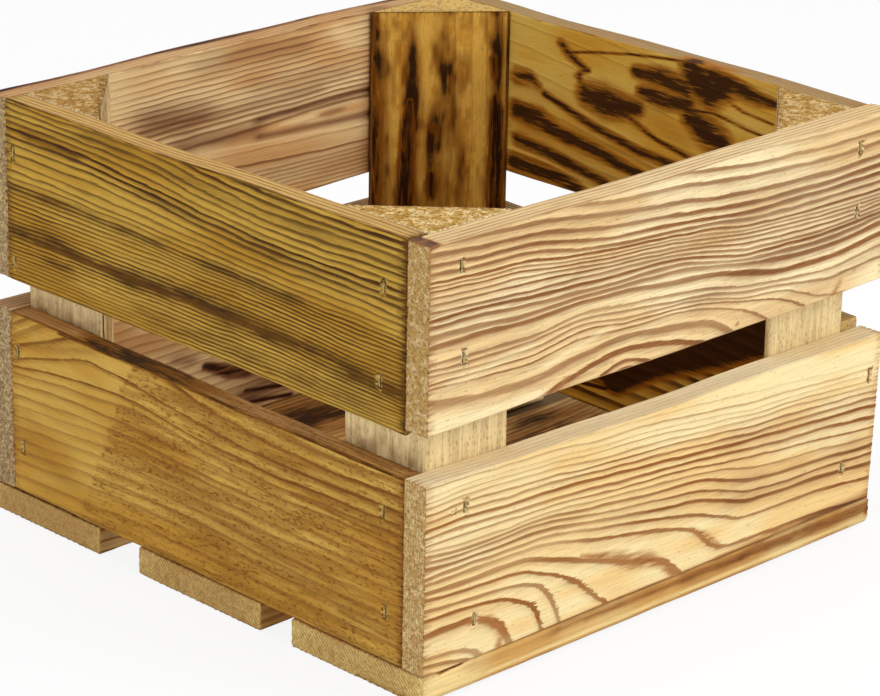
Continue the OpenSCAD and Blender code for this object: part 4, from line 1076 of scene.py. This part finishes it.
post_finish = flamed_finish(
    "sawn pine, posts", [tone(248, 224, 168), tone(206, 160, 88), tone(134, 82, 30), tone(116, 68, 16),
                         tone(36, 16, 6), tone(190, 152, 78), tone(200, 170, 110)],
    Jag=0.3, Fibre=1.0, Speck=0.45, Shoulder=0.3, Fleck=1.2, Seed=9.0, bump=0.6)
flamed_post_finish = flamed_finish(
    "flamed pine, posts", [tone(226, 176, 78), tone(188, 118, 14), tone(112, 58, 4), tone(122, 66, 6),
                           tone(24, 8, 1),
                           tone(206, 176, 110), tone(180, 140, 80)],
    Jag=0.3, Fibre=1.0, Speck=0.2, Shoulder=0.3, Seed=11.0, bump=0.7)
inner_y = (Y_FRONT + LONG_BOARD, Y_REAR - LONG_BOARD)
inner_x = (X_LEFT + SIDE_BOARD, X_RIGHT - SIDE_BOARD)
post_flames = {
    "rear_right": {
        "toast_and_shade": [(1.3, [(90, 205, 4), (90, 184, 5)]), (1.0, [(87, 178, 6), (86, 110, 7), (86, 20, 8)]),
                  (0.6, [(71, 205, 4.5), (71, 190, 5)]), (1.0, [(71, 184, 5.5), (71, 165, 6)]),
                  (1.2, [(71, 160, 7), (73, 110, 8), (73, 20, 9)]), (0.8, [(58, 190, 5), (52, 180, 6)]),
                  (0.9, [(55, 164, 7), (50, 158, 6)]), (1.1, [(60, 150, 5), (57, 146, 5)]),
                  (1.0, [(62, 132, 6), (58, 118, 8), (54, 20, 10)]),
                  (0.8, [(47, 140, 5), (45, 112, 6), (44, 20, 7)]),
                  (1.0, [(28, 215, 4.5), (27.5, 190, 5)]), (1.3, [(27.5, 186, 5), (27, 20, 8)])],
        "burns_and_shade": [(1.0, [(93.5, 183, 4), (93.5, 172, 7), (93, 150, 9), (93, 20, 10)]),
                  (0.8, [(92.5, 212, 3), (92, 190, 3)]),
                  (1.0, [(72, 163, 2), (73, 152, 5), (74, 107, 7), (74, 20, 8)]),
                  (1.0, [(28, 166, 2), (27.5, 158, 5), (27.5, 107, 6.5), (27, 20, 7)]),
                  (0.6, [(29, 176, 3), (30, 186, 3)]), (0.9, [(61, 124, 3), (60.5, 117, 5.5), (60, 112, 4)]),
                  (0.5, [(60, 149, 4), (58, 146, 3)])],
        "pale_and_highlight": [(0.9, [(82, 212, 2.2), (82, 180, 2), (82.5, 150, 1.6), (84, 20, 1.5)]),
                 (0.9, [(63.5, 215, 2), (64, 160, 1.8), (66.5, 107, 1.6), (67, 20, 1.6)]),
                 (0.9, [(37.5, 215, 6), (37, 165, 5.5), (37, 145, 4)]), (0.4, [(36, 130, 4), (35, 100, 3)]),
                 (0.5, [(58, 212, 5), (57, 200, 4)])],
        "blotches": 1.3, "top": 0.1, "top_edge": 0.3,
    },
    "front_left": {
        "toast_and_shade": [(0.25, [(50, 215, 30), (50, 10, 30)])],
        "burns_and_shade": [],
        "pale_and_highlight": [],
        "blotches": 0.3, "top": 0.1, "top_edge": 0.15,
    },
    "front_right": {
        "toast_and_shade": [(0.8, [(50, 215, 20), (50, 10, 30)])],
        "burns_and_shade": [(1.2, [(92, 215, 5), (92, 10, 8)])],
        "pale_and_highlight": [],
        "blotches": 0.4, "top": 0.4, "top_edge": 0.5,
    },
    "rear_left": {
        "toast_and_shade": [(0.6, [(50, 215, 30), (50, 10, 30)])],
        "burns_and_shade": [(1.0, [(24, 215, 4), (24, 10, 5)])],
        "pale_and_highlight": [],
        "blotches": 0.4, "top": 0.6, "top_edge": 1.1,
    },
}
for key, legs, ways, pith in (
    ("front_left", (0.049, 0.050), (1, 1), (0.09, -0.05)),
    ("front_right", (0.053, 0.045), (-1, 1), (-0.06, 0.02)),
    ("rear_left", (0.049, 0.052), (1, -1), (0.03, 0.1)),
    ("rear_right", (0.055, 0.045), (-1, -1), (0.08, 0.07)),
):
    corner = (inner_x[ways[0] < 0], inner_y[ways[1] < 0])
    post = corner_post(key + "_post_wood", corner, legs, ways, pith, post_flames[key], 40 + 7 * len(key))
    fit(post, flamed_post_finish if key == "rear_right" else post_finish, key + "_post")

# Floor boards: three boards with gaps between, under the side walls and stapled up into
# them. The front one keeps a waney lower edge that the flame browned.
floor_finish = flamed_finish(
    "flamed pine, floor", [tone(240, 214, 150), tone(214, 168, 98), tone(150, 94, 42), tone(150, 96, 44),
                           tone(48, 30, 18), tone(244, 224, 140), tone(214, 176, 118)],
    Jag=0.4, Fibre=0.9, Speck=0.3, Shoulder=0.4, Fleck=0.45, Seed=10.0)
for key, start, wide, seed, toast_and_shade_share in (
    ("front", -0.149, 0.085, 51, 0.05), ("middle", -0.044, 0.086, 52, 0.3), ("rear", 0.070, 0.079, 53, 0.5),
):
    rows = [(0, 1.4, 0.6, [-8, -10, -9, -10, -8])]
    spread = np.random.default_rng(seed)
    level = np.array([-8.0, -10, -9, -10, -8])
    for _ in range(26):
        level = level + spread.uniform(3.0, 5.2) + spread.uniform(-0.6, 0.6, 5)
        rows.append((1, float(spread.uniform(1.2, 2.4)), float(spread.uniform(0.4, 0.8)), list(level)))
    grain = Grain(LONG_LENGTH, 0.0, [0, 75, 150, 225, 300], rows, lean=0.9, seed=seed)
    inside = [(0.9, [(30, 20, 30), (270, 60, 40)]), (0.8, [(30, 60, 40), (270, 20, 30)])]
    if key == "middle":
        inside += [(1.5, [(212, 46, 12), (238, 52, 14)]), (0.8, [(250, 78, 16)])]
    board = flamed_board(
        key + "_floor_board_wood", ((X_LEFT, start, 0), (1, 0, 0), (0, 1, 0), (0, 0, 1)), LONG_LENGTH,
        LONG_BOARD,
        (0.0, 0.0), (wide, wide), (None, None), grain,
        toast_and_shade=[(toast_and_shade_share, [(-2, 0, 16), (-2, wide / MM, 16)])] + inside,
        step=3.6 * MM, across=1.0 * MM,
        foot_round=4.5 * MM if key == "front" else 2.0 * MM, edges=(0.5, 0.4, 0.5), ends=(0.2, 0.2), rim=0.0,
        end_rings=((0, 0.8, -0.8),), seed=seed + 10)
    if key == "front":
        # Its long edge in front took the flame under the wall: brown above, orange along the rounding
        spot = np.zeros(len(board.data.vertices) * 3)
        board.data.vertices.foreach_get("co", spot)
        spot = spot.reshape(-1, 3)
        s, d = spot[:, 0] - X_LEFT, spot[:, 2]
        seen = 1 - step_up(0.1 * MM, 5 * MM, spot[:, 1] - Y_FRONT)
        browned = [(0.35, [(30, 10, 4), (80, 10, 4)]), (0.8, [(84, 12, 4), (150, 11, 5)]),
                   (1.4, [(168, 10.5, 4.6), (302, 9.5, 6)]), (0.7, [(60, 0.8, 2), (300, 0.8, 2)])]
        charred = [(1.2, [(299, 9, 2), (301, 8, 4)]), (0.8, [(9, 13.4, 0.6), (24, 13.8, 0.6)]),
                   (0.3, [(100, 11, 2), (220, 11, 4), (300, 10.5, 4)])]
        bare = [(1.0, [(10, 12, 1.6), (24, 12.4, 1.0)]), (0.8, [(0, 7, 6), (30, 7, 4)]),
                (1.0, [(40, 4.8, 1.2), (300, 4.4, 1.1)])]
        for mask, value in (
            ("dark", 0.15), ("late", 0.2), ("scorch_and_shade", soft_paint(browned, s, d)),
            ("burn_and_shade", paint(charred, s, d)), ("pale_and_highlight", soft_paint(bare, s, d)),
        ):
            layer = board.data.attributes[mask].data
            before = np.zeros(len(layer))
            layer.foreach_get("value", before)
            layer.foreach_set("value", (before * (1 - seen) + value * seen).astype(np.float32))
    fit(board, floor_finish, key + "_floor_board")

# Staples: narrow crown galvanised wire, sunk under the faces and dulled by the flame.
wire = bpy.data.materials.new("galvanised staple wire")
wire.use_nodes = True
tree = wire.node_tree
surface = tree.nodes["Principled BSDF"]
coordinates = add_node(tree, "ShaderNodeTexCoord").outputs["Object"]
tarnish = noise(tree, coordinates, (900, 900, 900), 3.0, 0.6)
dulled = blend(tree, ramp(tree, tarnish, 0.4, 0.65), tone(186, 164, 104), tone(112, 86, 40))
tree.links.new(dulled, surface.inputs["Base Color"])
tree.links.new(ramp(tree, tarnish, 0.3, 0.7, 0.32, 0.6), surface.inputs["Roughness"])
surface.inputs["Metallic"].default_value = 0.35
for name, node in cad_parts.items():
    if name.endswith("_staples"):
        node.data.materials.clear()
        node.data.materials.append(wire)

# Floor and background: one pale sheet under the crate, out to the horizon. It is lit evenly
# for the camera, but keeps its shade under the crate, with a brown painted shadow under the rear floor gap.
def between(tree, value, rise, fall):
    """1 between two borders and 0 past them, each given as where its change starts and ends."""
    return times(tree, ramp(tree, value, *rise), ramp(tree, value, *fall, 1.0, 0.0))


bpy.ops.mesh.primitive_plane_add(size=12, location=(0, 0, -0.0002))
sheet = bpy.context.object
sheet.name = "pale_floor"
paper = bpy.data.materials.new("white studio floor")
paper.use_nodes = True
tree = paper.node_tree
surface = tree.nodes["Principled BSDF"]
surface.inputs["Roughness"].default_value = 0.9
glow = add_node(tree, "ShaderNodeEmission", sockets={"Color": (1, 1, 1, 1), "Strength": 1.0})
path = add_node(tree, "ShaderNodeLightPath").outputs
spot = add_node(tree, "ShaderNodeTexCoord").outputs["Object"]
where = add_node(tree, "ShaderNodeSeparateXYZ", sockets={0: spot}).outputs
under_x = between(tree, where[0], (-0.124, -0.112), (0.165, 0.18))
under_y = between(tree, where[1], (-0.125, -0.113), (0.12, 0.135))
# A brown base colour under the rear floor gap: a painted shadow on the floor seen through the gap.
painted_gap_shadow = between(tree, where[1], (0.03, 0.05), (0.1, 0.12))
tree.links.new(blend(tree, times(tree, under_x, painted_gap_shadow), (0.86, 0.86, 0.85, 1), tone(96, 70, 34)),
               surface.inputs["Base Color"])
open_floor = minus(tree, 0.86, times(tree, times(tree, under_x, under_y), 0.86))
lit = times(tree, path["Is Camera Ray"], open_floor)
mixed = add_node(tree, "ShaderNodeMixShader", sockets={0: lit, 1: surface.outputs[0], 2: glow.outputs[0]})
tree.links.new(mixed.outputs[0], tree.nodes["Material Output"].inputs[0])
sheet.data.materials.append(paper)

world = bpy.data.worlds.new("studio")
bpy.context.scene.world = world
world.use_nodes = True
tree = world.node_tree
background = tree.nodes["Background"]
path = add_node(tree, "ShaderNodeLightPath").outputs
mirrored = maths(tree, "MAXIMUM", path["Is Glossy Ray"], path["Is Transmission Ray"])
seen = maths(tree, "MAXIMUM", path["Is Camera Ray"], mirrored)
background.inputs["Color"].default_value = (1, 1, 1, 1)
tree.links.new(ramp(tree, seen, 0.0, 1.0, 0.55, 1.0), background.inputs["Strength"])


def soft_light(name, place, aim, width, power):
    """A square soft box that faces a point of the crate."""
    lamp = bpy.data.lights.new(name, "AREA")
    lamp.energy, lamp.size = power, width
    holder = bpy.data.objects.new(name, lamp)
    bpy.context.scene.collection.objects.link(holder)
    holder.location = place
    holder.rotation_euler = (Vector(aim) - Vector(place)).to_track_quat("-Z", "Y").to_euler()


soft_light("key", (0.9, -1.7, 1.5), (0, 0, 0.1), 1.1, 26)
soft_light("top", (-0.2, 0.2, 2.0), (0, 0, 0.1), 1.4, 14)
soft_light("fill", (-1.9, -0.6, 0.9), (0, 0, 0.1), 1.2, 9)

# Camera: where the photograph was taken from, a long lens about 1.7 m away.
camera_data = bpy.data.cameras.new("camera")
camera = bpy.data.objects.new("camera", camera_data)
bpy.context.scene.collection.objects.link(camera)
camera_data.sensor_width, camera_data.lens = 36, 147.12
right = Vector((0.71682, -0.697046, 0.017183))
down = Vector((-0.233336, -0.263032, -0.936145))
forward = Vector((0.657056, 0.667038, -0.351193))
turn = Matrix((right, -down, -forward)).transposed().to_4x4()
camera.matrix_world = Matrix.Translation((-1.127524, -1.146612, 0.689765)) @ turn
bpy.context.scene.camera = camera
bpy.context.scene.view_settings.view_transform = "Standard"
